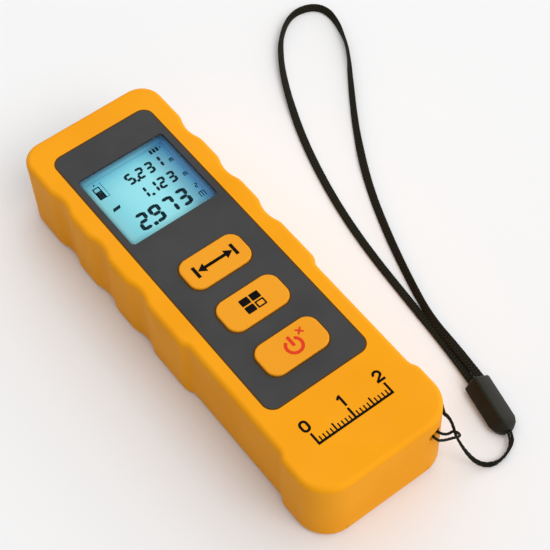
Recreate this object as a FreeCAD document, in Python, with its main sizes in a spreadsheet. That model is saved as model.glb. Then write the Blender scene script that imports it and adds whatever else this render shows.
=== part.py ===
import FreeCAD, Part
import math
import os
import re
import Sketcher

# Laser distance meter lying on its back. Millimetres, +Z out of the display, +Y toward the laser end,
# +X to the right of the display. The origin is on the table, under the middle of the body.

SIZES = {
    # casing, front view
    "body_length": 118.0,
    "grip_width": 38.0,
    "waist_step": 1.1,
    "foot_step": 0.1,
    "foot_length": 12.6,
    "top_corner": 5.8,
    "foot_corner": 8.1,
    "notch_depth": 0.98,
    "notch_radius": 9.0,
    "notch_pitch": 15.94,
    "notch_start": 19.0,
    "shoulder_drop": 16.12,
    "crest_round": 5.0,
    "step_round": 3.0,
    # casing, section
    "parting_height": 3.2,
    "edge_round": 1.3,
    "back_round": 1.6,
    "wall": 1.8,
    "front_wall": 2.0,
    "rear_floor": 2.0,
    # clearances
    "fit_gap": 0.1,
    "running_gap": 0.15,
    "key_gap": 0.2,
    # face panel and window
    "panel_side": 5.3,
    "panel_margin": 7.5,
    "panel_foot": 5.675,
    "panel_corner": 2.6,
    "panel_thick": 0.8,
    "panel_proud": 0.05,
    "glue_thick": 0.15,
    "glue_margin": 0.8,
    "window_side": 1.6,
    "window_length": 23.6,
    "window_drop": 20.6,
    "window_corner": 1.0,
    "window_ledge": 0.9,
    # buttons
    "button_width": 16.7,
    "button_length": 9.2,
    "button_corner": 3.0,
    "button_edge": 0.35,
    "button_rise": 0.6,
    "button_pitch": 14.33,
    "button_drop": 27.36,
    "flange_rim": 0.9,
    "flange_thick": 0.8,
    "flange_rest": 0.05,
    "plunger_radius": 1.5,
    "plunger_length": 1.15,
    "switch_side": 6.0,
    "switch_height": 0.9,
    # display
    "glass_side": 1.2,
    "glass_end": 1.9,
    "glass_thick": 1.2,
    "glass_ledge": 2.4,
    "light_thick": 1.0,
    "gasket_thick": 0.4,
    "frame_side": 1.4,
    "frame_end": 1.0,
    "strip_width": 1.6,
    "strip_inset": 2.0,
    # main board
    "board_gap": 0.8,
    "board_foot": 10.0,
    "board_head": 12.0,
    "board_thick": 1.0,
    "component_room": 2.3,
    "chip_side": 10.0,
    "chip_foot": 24.0,
    "chip_height": 1.2,
    "buzzer_x": -1.0,
    "buzzer_back": 12.0,
    "buzzer_radius": 4.5,
    "buzzer_height": 2.2,
    "buzzer_mouth": 0.8,
    # fastening
    "screw_inset": 1.0,
    "screw_foot": 13.0,
    "screw_top": 11.0,
    "screw_head": 1.9,
    "screw_head_high": 1.3,
    "screw_sink": 1.6,
    "screw_shank": 1.0,
    "screw_length": 8.0,
    "boss_radius": 2.1,
    "small_inset": 2.1,
    "small_foot": 13.0,
    "small_drop": 20.4,
    "small_head": 1.5,
    "small_head_high": 0.8,
    "small_shank": 0.7,
    "small_length": 3.0,
    "small_boss": 1.9,
    "slot_long": 0.62,
    "slot_thin": 0.14,
    "slot_depth": 0.55,
    # battery bay
    "cell_radius": 5.25,
    "cell_length": 44.5,
    "cell_split": 0.35,
    "cell_gap": 0.7,
    "roof_gap": 0.2,
    "nub_radius": 1.9,
    "nub_length": 0.8,
    "bay_wall": 1.35,
    "bay_foot": 2.9,
    "bay_end": 0.7,
    "bay_roof": 1.0,
    "bay_corner": 3.5,
    "plate_thick": 0.4,
    "plate_side": 3.6,
    "plate_foot": 4.0,
    "plate_head": 4.6,
    "leg_width": 2.0,
    "spring_room": 3.5,
    "spring_wire": 0.5,
    "spring_radius": 2.9,
    "spring_narrow": 2.1,
    "spring_pitch": 1.0,
    "spring_slack": 0.05,
    # battery cover
    "cover_thick": 1.8,
    "tongue_depth": 0.9,
    "tongue_level": 0.7,
    "tongue_thick": 0.6,
    "cover_lip": 1.6,
    "cover_end_gap": 0.05,
    "grip_half": 6.0,
    "grip_foot": 5.1,
    "grip_length": 7.0,
    "grip_depth": 0.6,
    "rib_half": 4.2,
    "rib_width": 0.7,
    "rib_pitch": 1.7,
    "pad_half": 8.0,
    "pad_end": 7.4,
    "pad_thick": 0.4,
    "pad_gap": 0.2,
    # optics
    "optic_level": 9.9,
    "receiver_offset": 5.6,
    "laser_offset": -6.5,
    "chassis_front": 4.4,
    "chassis_length": 30.6,
    "chassis_lift": 0.6,
    "chassis_gap": 0.4,
    "ear_level": 11.0,
    "ear_thick": 1.4,
    "ear_width": 3.2,
    "post_back": 3.5,
    "post_front": 12.6,
    "post_inset": 1.5,
    "post_radius": 1.45,
    "post_gap": 0.35,
    "lens_radius": 5.5,
    "lens_depth": 4.6,
    "lens_thick": 3.2,
    "lens_curve": 14.0,
    "ring_thick": 1.2,
    "ring_width": 0.6,
    "ring_bite": 0.8,
    "funnel_small": 2.2,
    "sensor_radius": 2.6,
    "sensor_length": 2.4,
    "receiver_board_thick": 1.0,
    "receiver_board_inner": 7.0,
    "receiver_board_outer": 6.6,
    "receiver_board_clear": 1.0,
    "barrel_radius": 4.0,
    "barrel_bore": 2.9,
    "barrel_depth": 1.6,
    "barrel_length": 15.0,
    "barrel_lip": 1.0,
    "barrel_mouth": 2.2,
    "diode_radius": 2.6,
    "diode_length": 3.2,
    "diode_flange": 1.0,
    "diode_seat": 2.0,
    "laser_lens_thick": 1.6,
    "laser_lens_curve": 6.0,
    "flex_width": 4.0,
    "flex_thick": 0.2,
    "flex_back": 1.5,
    # front plate in the laser end
    "plate_inset": 2.1,
    "plate_rise": 5.9,
    "plate_corner": 3.0,
    "plate_sink": 1.2,
    "plate_rim": 1.7,
    "glazing_thick": 0.5,
    "glazing_lip": 0.45,
    "receiver_pane": 5.2,
    "laser_pane": 2.6,
    # strap eye in the foot corner
    "eye_drop": 4.8,
    "eye_height": 2.2,
    "eye_floor": 0.7,
    "eye_width": 3.6,
    "eye_corner": 0.9,
    "eye_shift": 0.1,
    "eye_reach": 0.5,
    "eye_wall": 1.5,
    "eye_bite": 0.2,
    # wrist strap
    "strap_width": 2.0,
    "tether_width": 0.65,
    "joiner_width": 6.4,
    "joiner_height": 4.6,
    "joiner_length": 12.8,
    "joiner_foot": 4.4,
    "joiner_waist": 1.6,
    "joiner_ridge": 1.0,
    "joiner_x": 34.65,
    "joiner_y": -49.4,
    "joiner_turn": -11.8,
    "joiner_round": 0.5,
}

# Sizes and places that follow from the ones above.
LAYOUT = {
    "waist_width": "grip_width - 2 * waist_step",
    "foot_width": "grip_width - 2 * foot_step",
    "foot_level": "foot_length - body_length / 2",
    "first_notch": "body_length / 2 - notch_start",
    "shoulder_level": "first_notch - 2 * notch_pitch - shoulder_drop",
    "cavity_half": "waist_width / 2 - wall",
    "cavity_corner": "foot_corner - wall",
    # levels from the table up: cover, cells, bay roof, board, display, front wall
    "cell_level": "cover_thick + pad_thick + pad_gap + cell_radius",
    "bay_inside": "cell_level + cell_radius + roof_gap",
    "board_bottom": "bay_inside + bay_roof + component_room",
    "board_top": "board_bottom + board_thick",
    "glass_bottom": "board_top + light_thick",
    "glass_top": "glass_bottom + glass_thick",
    "ceiling": "glass_top + gasket_thick",
    "body_height": "ceiling + front_wall",
    "panel_top": "body_height + panel_proud",
    "panel_bottom": "panel_top - panel_thick",
    "glue_bottom": "panel_bottom - glue_thick",
    # the face, from the laser end down
    "panel_width": "grip_width - 2 * panel_side",
    "window_width": "panel_width - 2 * window_side",
    "panel_high": "body_length / 2 - panel_margin",
    "window_centre": "panel_high - window_drop",
    "first_button": "window_centre - button_drop",
    "panel_low": "first_button - 2 * button_pitch - button_length / 2 - panel_foot",
    "glass_width": "window_width + 2 * glass_side",
    "glass_length": "window_length + 2 * glass_end",
    "frame_width": "glass_width + 2 * frame_side",
    "frame_length": "glass_length + 2 * frame_end",
    "strip_length": "glass_width - 2 * strip_inset",
    # board and screws
    "board_half": "cavity_half - board_gap",
    "board_low": "board_foot - body_length / 2",
    "board_high": "body_length / 2 - board_head",
    "chip_centre": "board_low + chip_foot",
    "screw_column": "cavity_half - screw_inset",
    "screw_low": "screw_foot - body_length / 2",
    "screw_high": "body_length / 2 - screw_top",
    "small_column": "board_half - small_inset",
    "small_low": "board_low + small_foot",
    "small_high": "window_centre - small_drop",
    # battery bay and cover
    "cell_offset": "cell_radius + cell_split",
    "bay_half": "cell_offset + cell_radius + cell_gap",
    "bay_low": "bay_foot - body_length / 2",
    "bay_high": "bay_low + cell_length + spring_room + 2 * plate_thick",
    "plate_half": "cell_offset + plate_side",
    "grip_low": "bay_low + grip_foot",
    # optics, from the laser end back
    "chassis_high": "body_length / 2 - chassis_front",
    "chassis_low": "chassis_high - chassis_length",
    "chassis_bottom": "rear_floor + chassis_lift",
    "chassis_top": "board_bottom - chassis_gap",
    "ear_half": "cavity_half - key_gap",
    "post_column": "ear_half - post_inset",
    "post_low": "chassis_low + post_back",
    "post_high": "chassis_high - post_front",
    "chassis_half": "post_column - post_radius - post_gap",
    "lens_seat": "chassis_high - lens_depth",
    "barrel_high": "chassis_high - barrel_depth",
    "barrel_low": "barrel_high - barrel_length",
    "buzzer_y": "chassis_low - buzzer_back",
    "plate_width": "2 * (cavity_half - plate_inset)",
    "plate_low": "optic_level - plate_rise",
    "plate_high": "optic_level + plate_rise",
    # strap eye
    "eye_high": "body_height - eye_drop",
    "eye_low": "eye_high - eye_height",
    "eye_block": "eye_low - eye_floor",
    "eye_inset": "foot_width / 2 - foot_corner + eye_shift",
    "eye_depth": "foot_corner + eye_reach",
}

# Small parts on the main board: x, distance from the board's foot end, width, length, height.
# A negative height hangs under the board.
SMALL_PARTS = [
    (-9.0, 31.0, 3.2, 1.6, -1.0), (-9.0, 27.0, 3.2, 1.6, -1.0), (9.0, 31.0, 3.0, 3.0, -1.2),
    (9.0, 23.0, 2.0, 4.4, -1.3), (-9.2, 16.0, 4.0, 4.0, -1.6), (7.0, 11.0, 3.2, 1.6, 1.0),
    (-9.0, 9.0, 3.0, 6.0, 1.6), (9.0, 5.0, 3.2, 2.6, 1.1), (10.4, 45.0, 1.6, 3.2, 1.0),
    (-10.4, 45.0, 1.6, 3.2, 1.0), (10.4, 31.0, 1.6, 3.2, 1.0), (-10.4, 31.0, 1.6, 3.2, 1.0),
]

# Wrist loop, from the joiner's upper end out over the table and back.
STRAP_ROUTE = [
    (33.47, -49.16, 1.3), (35.40, -39.9, 1.3), (37.4, -22.0, 1.05), (39.0, -3.5, 1.05), (42.4, 14.0, 1.05),
    (47.8, 33.5, 1.05), (54.8, 50.0, 1.05), (60.5, 60.2, 1.05), (65.8, 66.6, 1.05), (71.9, 69.4, 1.05),
    (77.8, 68.2, 1.05), (80.4, 64.6, 1.05), (79.6, 58.6, 1.05), (76.6, 50.2, 1.05), (69.8, 41.0, 1.05),
    (60.0, 26.5, 1.05), (51.4, 11.1, 1.05), (45.3, -5.0, 1.05), (40.3, -22.4, 1.05), (37.78, -40.4, 1.3),
    (35.83, -49.65, 1.3),
]

# Thin tether: from the joiner up to the hitch, once round through the strap eye, back to the joiner.
TETHER_ROUTE = [
    (31.5, -61.82, 2.0), (31.1, -63.75, 2.0), (29.5, -65.2, 1.1), (27.2, -66.1, 0.6),
    (24.8, -66.2, 0.6), (22.7, -65.4, 1.0), (21.2, -63.9, 2.4), (20.2, -62.3, 4.7),
    (19.5, -60.8, 7.4), (19.13, -59.31, 10.2), (19.25, -57.8, 12.1), (19.4, -56.1, 13.8),
    (19.5, -54.5, 15.2), (19.0, -53.1, 15.7), (16.3, -52.9, 15.6), (14.3, -53.0, 15.6),
    (13.2, -54.1, 15.6), (13.2, -57.0, 15.6), (13.2, -59.8, 15.4), (14.4, -60.1, 13.9),
    (16.9, -58.97, 11.15), (19.6, -58.65, 8.7), (20.57, -60.02, 9.58), (17.8, -60.35, 12.1),
    (13.9, -61.1, 15.0), (12.1, -60.4, 16.4), (12.1, -57.5, 16.6), (12.1, -54.2, 16.6),
    (12.3, -52.5, 16.6), (13.9, -51.7, 16.6), (16.3, -51.75, 16.6), (18.7, -51.7, 16.7),
    (19.4, -52.9, 16.9), (18.6, -55.2, 15.8), (18.2, -57.4, 13.1), (18.27, -59.69, 10.55),
    (18.5, -61.3, 7.6), (19.2, -62.9, 4.7), (20.3, -64.7, 2.3), (22.1, -66.3, 0.9),
    (24.5, -67.2, 0.6), (27.5, -67.1, 0.6), (30.4, -66.1, 1.1), (32.18, -64.0, 2.0),
    (32.58, -62.04, 2.0),
]

ARC_SHARE = 0.45    # of the shorter run beside a point, on each side of it
COIL_STEPS = 8      # points in one turn of a spring

doc = FreeCAD.newDocument("distance_meter")
sheet = doc.addObject("Spreadsheet::Sheet", "sizes")
for row, (alias, value) in enumerate(SIZES.items(), start=1):
    sheet.set(f"A{row}", alias)
    sheet.set(f"B{row}", str(value))
    sheet.setAlias(f"B{row}", alias)
doc.recompute()

nodes = []


def ref(text):
    """Turn the names in an expression into formulas on the sheet's cells."""
    def swap(word):
        name = word[0]
        if name in LAYOUT:
            return "(" + ref(LAYOUT[name]) + ")"
        return "sizes." + name if name in SIZES else name
    return re.sub(r"[a-z_]\w*", swap, text)


def number(text):
    result = sheet.evalExpression(ref(text))
    return float(getattr(result, "Value", result))


def bind(item, target, text):
    item.setExpression(target, ref(text))


def node(label, item):
    item.Label = label
    nodes.append(item)
    return item


# ---- plain solids -------------------------------------------------------------------------------

def box(name, x, y, z):
    """A block between pairs of planes."""
    item = doc.addObject("Part::Box", name)
    for size, axis, (low, high) in (("Length", "x", x), ("Width", "y", y), ("Height", "z", z)):
        bind(item, size, f"({high}) - ({low})")
        bind(item, f"Placement.Base.{axis}", low)
    return item


TURNS = {
    "z": FreeCAD.Rotation(),
    "y": FreeCAD.Rotation(FreeCAD.Vector(1, 0, 0), -90),
    "x": FreeCAD.Rotation(FreeCAD.Vector(0, 1, 0), 90),
}


def set_axis(item, axis, centre, start):
    item.Placement = FreeCAD.Placement(FreeCAD.Vector(), TURNS[axis])
    places = dict(zip([letter for letter in "xyz" if letter != axis], centre))
    places[axis] = start
    for letter, text in places.items():
        bind(item, f"Placement.Base.{letter}", text)


def rod(name, axis, radius, centre, span):
    """A cylinder along one axis; centre holds its other two coordinates in order."""
    item = doc.addObject("Part::Cylinder", name)
    bind(item, "Radius", radius)
    bind(item, "Height", f"({span[1]}) - ({span[0]})")
    set_axis(item, axis, centre, span[0])
    return item


def taper(name, axis, radii, centre, span):
    item = doc.addObject("Part::Cone", name)
    bind(item, "Radius1", radii[0])
    bind(item, "Radius2", radii[1])
    bind(item, "Height", f"({span[1]}) - ({span[0]})")
    set_axis(item, axis, centre, span[0])
    return item


def fuse(name, items):
    item = doc.addObject("Part::MultiFuse", name)
    item.Shapes = items
    return item


def group(name, items):
    item = doc.addObject("Part::Compound", name)
    item.Links = items
    return item


def cut(name, base, tools):
    item = doc.addObject("Part::Cut", name)
    item.Base = base
    item.Tool = tools[0] if len(tools) == 1 else fuse(name + "_tools", tools)
    return item


def tube_along(route, width):
    """A round tube along straight runs joined by tangent arcs, each as large as its runs allow."""
    spots = [FreeCAD.Vector(*spot) for spot in route]
    edges = []
    radii = []
    start = spots[0]
    for before, spot, after in zip(spots, spots[1:], spots[2:]):
        inward, outward = (spot - before), (after - spot)
        reach = ARC_SHARE * min(inward.Length, outward.Length)
        inward.normalize()
        outward.normalize()
        turn = math.acos(max(-1.0, min(1.0, inward.dot(outward))))
        radius = reach / math.tan(turn / 2)
        enter, leave = spot - inward * reach, spot + outward * reach
        bisector = outward - inward
        bisector.normalize()
        middle = spot + bisector * (radius / math.cos(turn / 2) - radius)
        edges += [Part.LineSegment(start, enter).toShape(), Part.Arc(enter, middle, leave).toShape()]
        radii.append(round(radius, 1))
        start = leave
    edges.append(Part.LineSegment(start, spots[-1]).toShape())
    path = Part.Wire(edges)
    ring = Part.Wire(Part.makeCircle(width / 2, spots[0], spots[1] - spots[0]))
    return path.makePipeShell([ring], True, False), path.Length, radii


# ---- sketched solids ----------------------------------------------------------------------------

def new_body(label):
    return node(label, doc.addObject("PartDesign::Body", label))


def origin_plane(body, role):
    return next(item for item in body.Origin.OriginFeatures if item.Role == role)


def sketch(body, name, level, role="XY_Plane"):
    item = body.newObject("Sketcher::SketchObject", name)
    item.AttachmentSupport = [(origin_plane(body, role), "")]
    item.MapMode = "FlatFace"
    bind(item, "AttachmentOffset.Base.z", level)
    return item


def limit(item, kind, geometry, point, text):
    """Hold a point's x or y, measured from the sketch's origin."""
    value = number(text)
    if abs(value) < 1e-9:
        axis = -2 if kind == "DistanceX" else -1
        item.addConstraint(Sketcher.Constraint("PointOnObject", geometry, point, axis))
        return
    index = item.addConstraint(Sketcher.Constraint(kind, -1, 1, geometry, point, value))
    bind(item, f"Constraints[{index}]", text)


def arc(x, y, radius, start, end):
    circle = Part.Circle(FreeCAD.Vector(x, y, 0), FreeCAD.Vector(0, 0, 1), radius)
    return Part.ArcOfCircle(circle, math.radians(start), math.radians(end))


def line(x0, y0, x1, y1):
    return Part.LineSegment(FreeCAD.Vector(x0, y0, 0), FreeCAD.Vector(x1, y1, 0))


def hold_radius(item, geometry, text):
    index = item.addConstraint(Sketcher.Constraint("Radius", geometry, number(text)))
    bind(item, f"Constraints[{index}]", text)


def add_rectangle(item, x, y, corner=None):
    """A rectangle between x and y limits, with rounded corners where a radius is given."""
    x0, x1, y0, y1 = number(x[0]), number(x[1]), number(y[0]), number(y[1])
    radius = number(corner) if corner else 0
    sides = [item.addGeometry(piece) for piece in (
        line(x0 + radius, y0, x1 - radius, y0),
        line(x1, y0 + radius, x1, y1 - radius),
        line(x1 - radius, y1, x0 + radius, y1),
        line(x0, y1 - radius, x0, y0 + radius),
    )]
    if corner:
        rounds = [item.addGeometry(piece) for piece in (
            arc(x1 - radius, y0 + radius, radius, -90, 0),
            arc(x1 - radius, y1 - radius, radius, 0, 90),
            arc(x0 + radius, y1 - radius, radius, 90, 180),
            arc(x0 + radius, y0 + radius, radius, 180, 270),
        )]
        for index in range(4):
            item.addConstraint(Sketcher.Constraint("Tangent", sides[index], 2, rounds[index], 1))
            item.addConstraint(Sketcher.Constraint("Tangent", rounds[index], 2, sides[(index + 1) % 4], 1))
        hold_radius(item, rounds[0], corner)
        for other in rounds[1:]:
            item.addConstraint(Sketcher.Constraint("Equal", rounds[0], other))
    else:
        for index in range(4):
            item.addConstraint(Sketcher.Constraint("Coincident", sides[index], 2, sides[(index + 1) % 4], 1))
    for kind, pair in (("Horizontal", (0, 2)), ("Vertical", (1, 3))):
        for index in pair:
            item.addConstraint(Sketcher.Constraint(kind, sides[index]))
    limit(item, "DistanceY", sides[0], 1, y[0])
    limit(item, "DistanceX", sides[1], 1, x[1])
    limit(item, "DistanceY", sides[2], 1, y[1])
    limit(item, "DistanceX", sides[3], 1, x[0])


def add_circle(item, x, y, radius):
    circle = Part.Circle(FreeCAD.Vector(number(x), number(y), 0), FreeCAD.Vector(0, 0, 1), number(radius))
    index = item.addGeometry(circle)
    limit(item, "DistanceX", index, 3, x)
    limit(item, "DistanceY", index, 3, y)
    hold_radius(item, index, radius)


def pad(body, profile, name, length, reverse=False):
    item = body.newObject("PartDesign::Pad", name)
    item.Profile = profile
    item.Reversed = reverse
    bind(item, "Length", length)
    return item


def pocket(body, profile, name, depth, reverse=False):
    """Cuts against the sketch's normal, or along it where reverse is set."""
    item = body.newObject("PartDesign::Pocket", name)
    item.Profile = profile
    item.Reversed = reverse
    bind(item, "Length", depth)
    return item


def dress(kind, body, base, name, size, test):
    """Round or chamfer the edges of the base feature that pass the test."""
    doc.recompute()
    edges = [f"Edge{index}" for index, edge in enumerate(base.Shape.Edges, start=1) if test(edge)]
    item = body.newObject("PartDesign::" + kind, name)
    item.Base = (base, edges)
    bind(item, "Radius" if kind == "Fillet" else "Size", size)
    return item


def flat_at(height):
    """Test for edges that lie in the horizontal plane at a height."""
    level = number(height)
    return lambda edge: edge.BoundBox.ZLength < 1e-6 and abs(edge.BoundBox.ZMin - level) < 1e-6


# ---- casing outline -----------------------------------------------------------------------------

def half_outline(item):
    """Right half of the casing seen from the front: foot, waist, then three finger notches."""
    top = number("body_length / 2")
    crest, waist, foot = number("grip_width / 2"), number("waist_width / 2"), number("foot_width / 2")
    top_corner, foot_corner = number("top_corner"), number("foot_corner")
    step, turn = number("step_round"), number("crest_round")
    depth, notch = number("notch_depth"), number("notch_radius")
    foot_level, shoulder = number("foot_level"), number("shoulder_level")
    foot_rise = math.sqrt((foot - waist) * (4 * step - foot + waist))
    foot_angle = math.degrees(math.acos(1 - (foot - waist) / (2 * step)))
    crest_rise = math.sqrt((crest - waist) * (4 * step - crest + waist))
    crest_angle = math.degrees(math.acos(1 - (crest - waist) / (2 * step)))
    notch_half = math.sqrt(depth * (2 * (notch + turn) - depth))
    notch_angle = math.degrees(math.acos(1 - depth / (notch + turn)))
    # each entry: curve, point where the outline enters it, point where it leaves it
    path = [
        (line(0, -top, foot - foot_corner, -top), 1, 2),
        (arc(foot - foot_corner, foot_corner - top, foot_corner, -90, 0), 1, 2),
        (line(foot, foot_corner - top, foot, foot_level), 1, 2),
        (arc(foot - step, foot_level, step, 0, foot_angle), 1, 2),
        (arc(waist + step, foot_level + foot_rise, step, 180, 180 + foot_angle), 2, 1),
        (line(waist, foot_level + foot_rise, waist, shoulder - crest_rise), 1, 2),
        (arc(waist + step, shoulder - crest_rise, step, 180 - crest_angle, 180), 2, 1),
        (arc(crest - step, shoulder, step, -crest_angle, 0), 1, 2),
    ]
    level = shoulder
    centres = [f"first_notch - {index} * notch_pitch" for index in (2, 1, 0)]
    notch_starts = []
    for centre in centres:
        middle = number(centre)
        path.append((line(crest, level, crest, middle - notch_half), 1, 2))
        notch_starts.append(len(path))
        path.append((arc(crest - turn, middle - notch_half, turn, 0, notch_angle), 1, 2))
        path.append((arc(crest - depth + notch, middle, notch, 180 - notch_angle, 180 + notch_angle), 2, 1))
        path.append((arc(crest - turn, middle + notch_half, turn, -notch_angle, 0), 1, 2))
        level = middle + notch_half
    path += [
        (line(crest, level, crest, top - top_corner), 1, 2),
        (arc(crest - top_corner, top - top_corner, top_corner, 0, 90), 1, 2),
        (line(crest - top_corner, top, 0, top), 1, 2),
    ]
    ids = [item.addGeometry(curve) for curve, enter, leave in path]
    axis = item.addGeometry(line(0, top, 0, -top))
    for index in range(len(path) - 1):
        item.addConstraint(Sketcher.Constraint(
            "Tangent", ids[index], path[index][2], ids[index + 1], path[index + 1][1]))
    item.addConstraint(Sketcher.Constraint("Coincident", ids[-1], 2, axis, 1))
    item.addConstraint(Sketcher.Constraint("Coincident", axis, 2, ids[0], 1))
    last = len(path) - 1
    for index in (0, last):
        item.addConstraint(Sketcher.Constraint("Horizontal", ids[index]))
    item.addConstraint(Sketcher.Constraint("PointOnObject", ids[0], 1, -2))
    item.addConstraint(Sketcher.Constraint("PointOnObject", ids[last], 2, -2))
    limit(item, "DistanceY", ids[0], 1, "-body_length / 2")
    limit(item, "DistanceY", ids[last], 2, "body_length / 2")
    hold_radius(item, ids[1], "foot_corner")
    hold_radius(item, ids[last - 1], "top_corner")
    hold_radius(item, ids[3], "step_round")
    for index in (4, 6, 7):
        item.addConstraint(Sketcher.Constraint("Equal", ids[3], ids[index]))
    limit(item, "DistanceY", ids[3], 3, "foot_level")
    limit(item, "DistanceY", ids[7], 3, "shoulder_level")
    walls = {2: "foot_width / 2", 5: "waist_width / 2", last - 2: "grip_width / 2"}
    walls.update({start - 1: "grip_width / 2" for start in notch_starts})
    for index, text in walls.items():
        item.addConstraint(Sketcher.Constraint("Vertical", ids[index]))
        limit(item, "DistanceX", ids[index], 1, text)
    for start, centre in zip(notch_starts, centres):
        hold_radius(item, ids[start], "crest_round")
        hold_radius(item, ids[start + 1], "notch_radius")
        item.addConstraint(Sketcher.Constraint("Equal", ids[start], ids[start + 2]))
        limit(item, "DistanceX", ids[start + 1], 3, "grip_width / 2 - notch_depth + notch_radius")
        limit(item, "DistanceY", ids[start + 1], 3, centre)


def casing(label, bottom, top):
    """A body with the casing's outline between two heights, with a mirrored left half."""
    body = new_body(label)
    outline = sketch(body, label + "_outline", bottom)
    half_outline(outline)
    half = pad(body, outline, label + "_half", f"({top}) - ({bottom})")
    whole = body.newObject("PartDesign::Mirrored", label + "_whole")
    whole.Originals = [half]
    whole.MirrorPlane = (origin_plane(body, "YZ_Plane"), [""])
    body.Tip = whole
    return body, whole


CAVITY_X = ("-cavity_half", "cavity_half")
CAVITY_Y = ("-(body_length / 2 - wall)", "body_length / 2 - wall")
BUTTON_NAMES = ("measure", "mode", "power")
BUTTON_CENTRES = [f"first_button - {index} * button_pitch" for index in range(3)]


def four_places(family):
    """Two columns and two levels, by the names in the sheet."""
    levels = (family + "_low", family + "_high")
    return [(f"{side} * {family}_column", level) for side in (-1, 1) for level in levels]


SCREW_PLACES = four_places("screw")
SMALL_PLACES = four_places("small")
POST_PLACES = four_places("post")
RECEIVER = ("receiver_offset", "optic_level")
LASER = ("laser_offset", "optic_level")


def button_limits(centre, grow):
    x = (f"-(button_width / 2 + {grow})", f"button_width / 2 + {grow}")
    y = (f"{centre} - button_length / 2 - {grow}", f"{centre} + button_length / 2 + {grow}")
    return x, y, f"button_corner + {grow}"


def window_limits(grow):
    x = (f"-(window_width / 2 + {grow})", f"window_width / 2 + {grow}")
    y = (f"window_centre - window_length / 2 - {grow}", f"window_centre + window_length / 2 + {grow}")
    return x, y, "window_corner"


def panel_limits(grow):
    x = (f"-(panel_width / 2 + {grow})", f"panel_width / 2 + {grow}")
    y = (f"panel_low - {grow}", f"panel_high + {grow}")
    return x, y, f"panel_corner + {grow}"


def glass_limits(width, length):
    y = (f"window_centre - {length} / 2", f"window_centre + {length} / 2")
    return (f"-{width} / 2", f"{width} / 2"), y


def build_front_housing():
    body, whole = casing("front_housing", "parting_height", "body_height")
    dress("Fillet", body, whole, "front_edge", "edge_round", flat_at("body_height"))
    profile = sketch(body, "front_cavity_profile", "parting_height")
    add_rectangle(profile, CAVITY_X, CAVITY_Y, "cavity_corner")
    pocket(body, profile, "front_cavity", "ceiling - parting_height", reverse=True)
    # screw towers and the board's standoffs hang from the front wall
    for name, level, places, radius in (
            ("tower", "parting_height", SCREW_PLACES, "boss_radius"),
            ("standoff", "board_top", SMALL_PLACES, "small_boss")):
        profile = sketch(body, name + "_profile", level)
        for x, y in places:
            add_circle(profile, x, y, radius)
        pad(body, profile, name, f"ceiling - ({level})")
    # solid block behind the strap eye
    profile = sketch(body, "eye_block_profile", "eye_block")
    add_rectangle(profile, ("eye_inset - eye_wall", f"{CAVITY_X[1]} + eye_bite"),
                  (f"{CAVITY_Y[0]} - eye_bite", "eye_depth + eye_wall / 2 - body_length / 2"), "eye_wall")
    pad(body, profile, "eye_solid", "ceiling - eye_block")
    for name, level, places, pilot, depth in (
            ("tower_hole", "parting_height", SCREW_PLACES, "screw_shank", "screw_length"),
            ("standoff_hole", "board_top", SMALL_PLACES, "small_shank", "small_length - board_thick")):
        profile = sketch(body, name + "_profile", level)
        for x, y in places:
            add_circle(profile, x, y, pilot)
        pocket(body, profile, name, depth, reverse=True)
    profile = sketch(body, "recess_profile", "body_height")
    add_rectangle(profile, *panel_limits("fit_gap"))
    pocket(body, profile, "panel_recess", "panel_thick + glue_thick - panel_proud")
    profile = sketch(body, "aperture_profile", "body_height")
    add_rectangle(profile, *window_limits("-window_ledge"))
    for centre in BUTTON_CENTRES:
        add_rectangle(profile, *button_limits(centre, "key_gap"))
    pocket(body, profile, "apertures", "front_wall")
    # strap eye: a passage from the foot face round to the side face
    foot = sketch(body, "eye_foot_profile", "body_length / 2", role="XZ_Plane")
    add_rectangle(foot, ("eye_inset", "eye_inset + eye_width"), ("eye_low", "eye_high"), "eye_corner")
    pocket(body, foot, "eye_foot", "eye_depth")
    side = sketch(body, "eye_side_profile", "foot_width / 2", role="YZ_Plane")
    add_rectangle(side, ("eye_depth - eye_width - body_length / 2", "eye_depth - body_length / 2"),
                  ("eye_low", "eye_high"), "eye_corner")
    pocket(body, side, "eye_side", "foot_width / 2 - eye_inset")
    # laser end: seat for the front plate and the opening behind it
    seat = sketch(body, "seat_profile", "-body_length / 2", role="XZ_Plane")
    add_rectangle(seat, ("-plate_width / 2", "plate_width / 2"), ("plate_low", "plate_high"), "plate_corner")
    pocket(body, seat, "plate_seat", "plate_sink", reverse=True)
    opening = sketch(body, "opening_profile", "-body_length / 2", role="XZ_Plane")
    add_rectangle(opening, ("plate_rim - plate_width / 2", "plate_width / 2 - plate_rim"),
                  ("plate_low + plate_rim / 2", "plate_high - plate_rim / 2"), "plate_corner - plate_rim / 2")
    pocket(body, opening, "light_opening", "wall", reverse=True)


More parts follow.
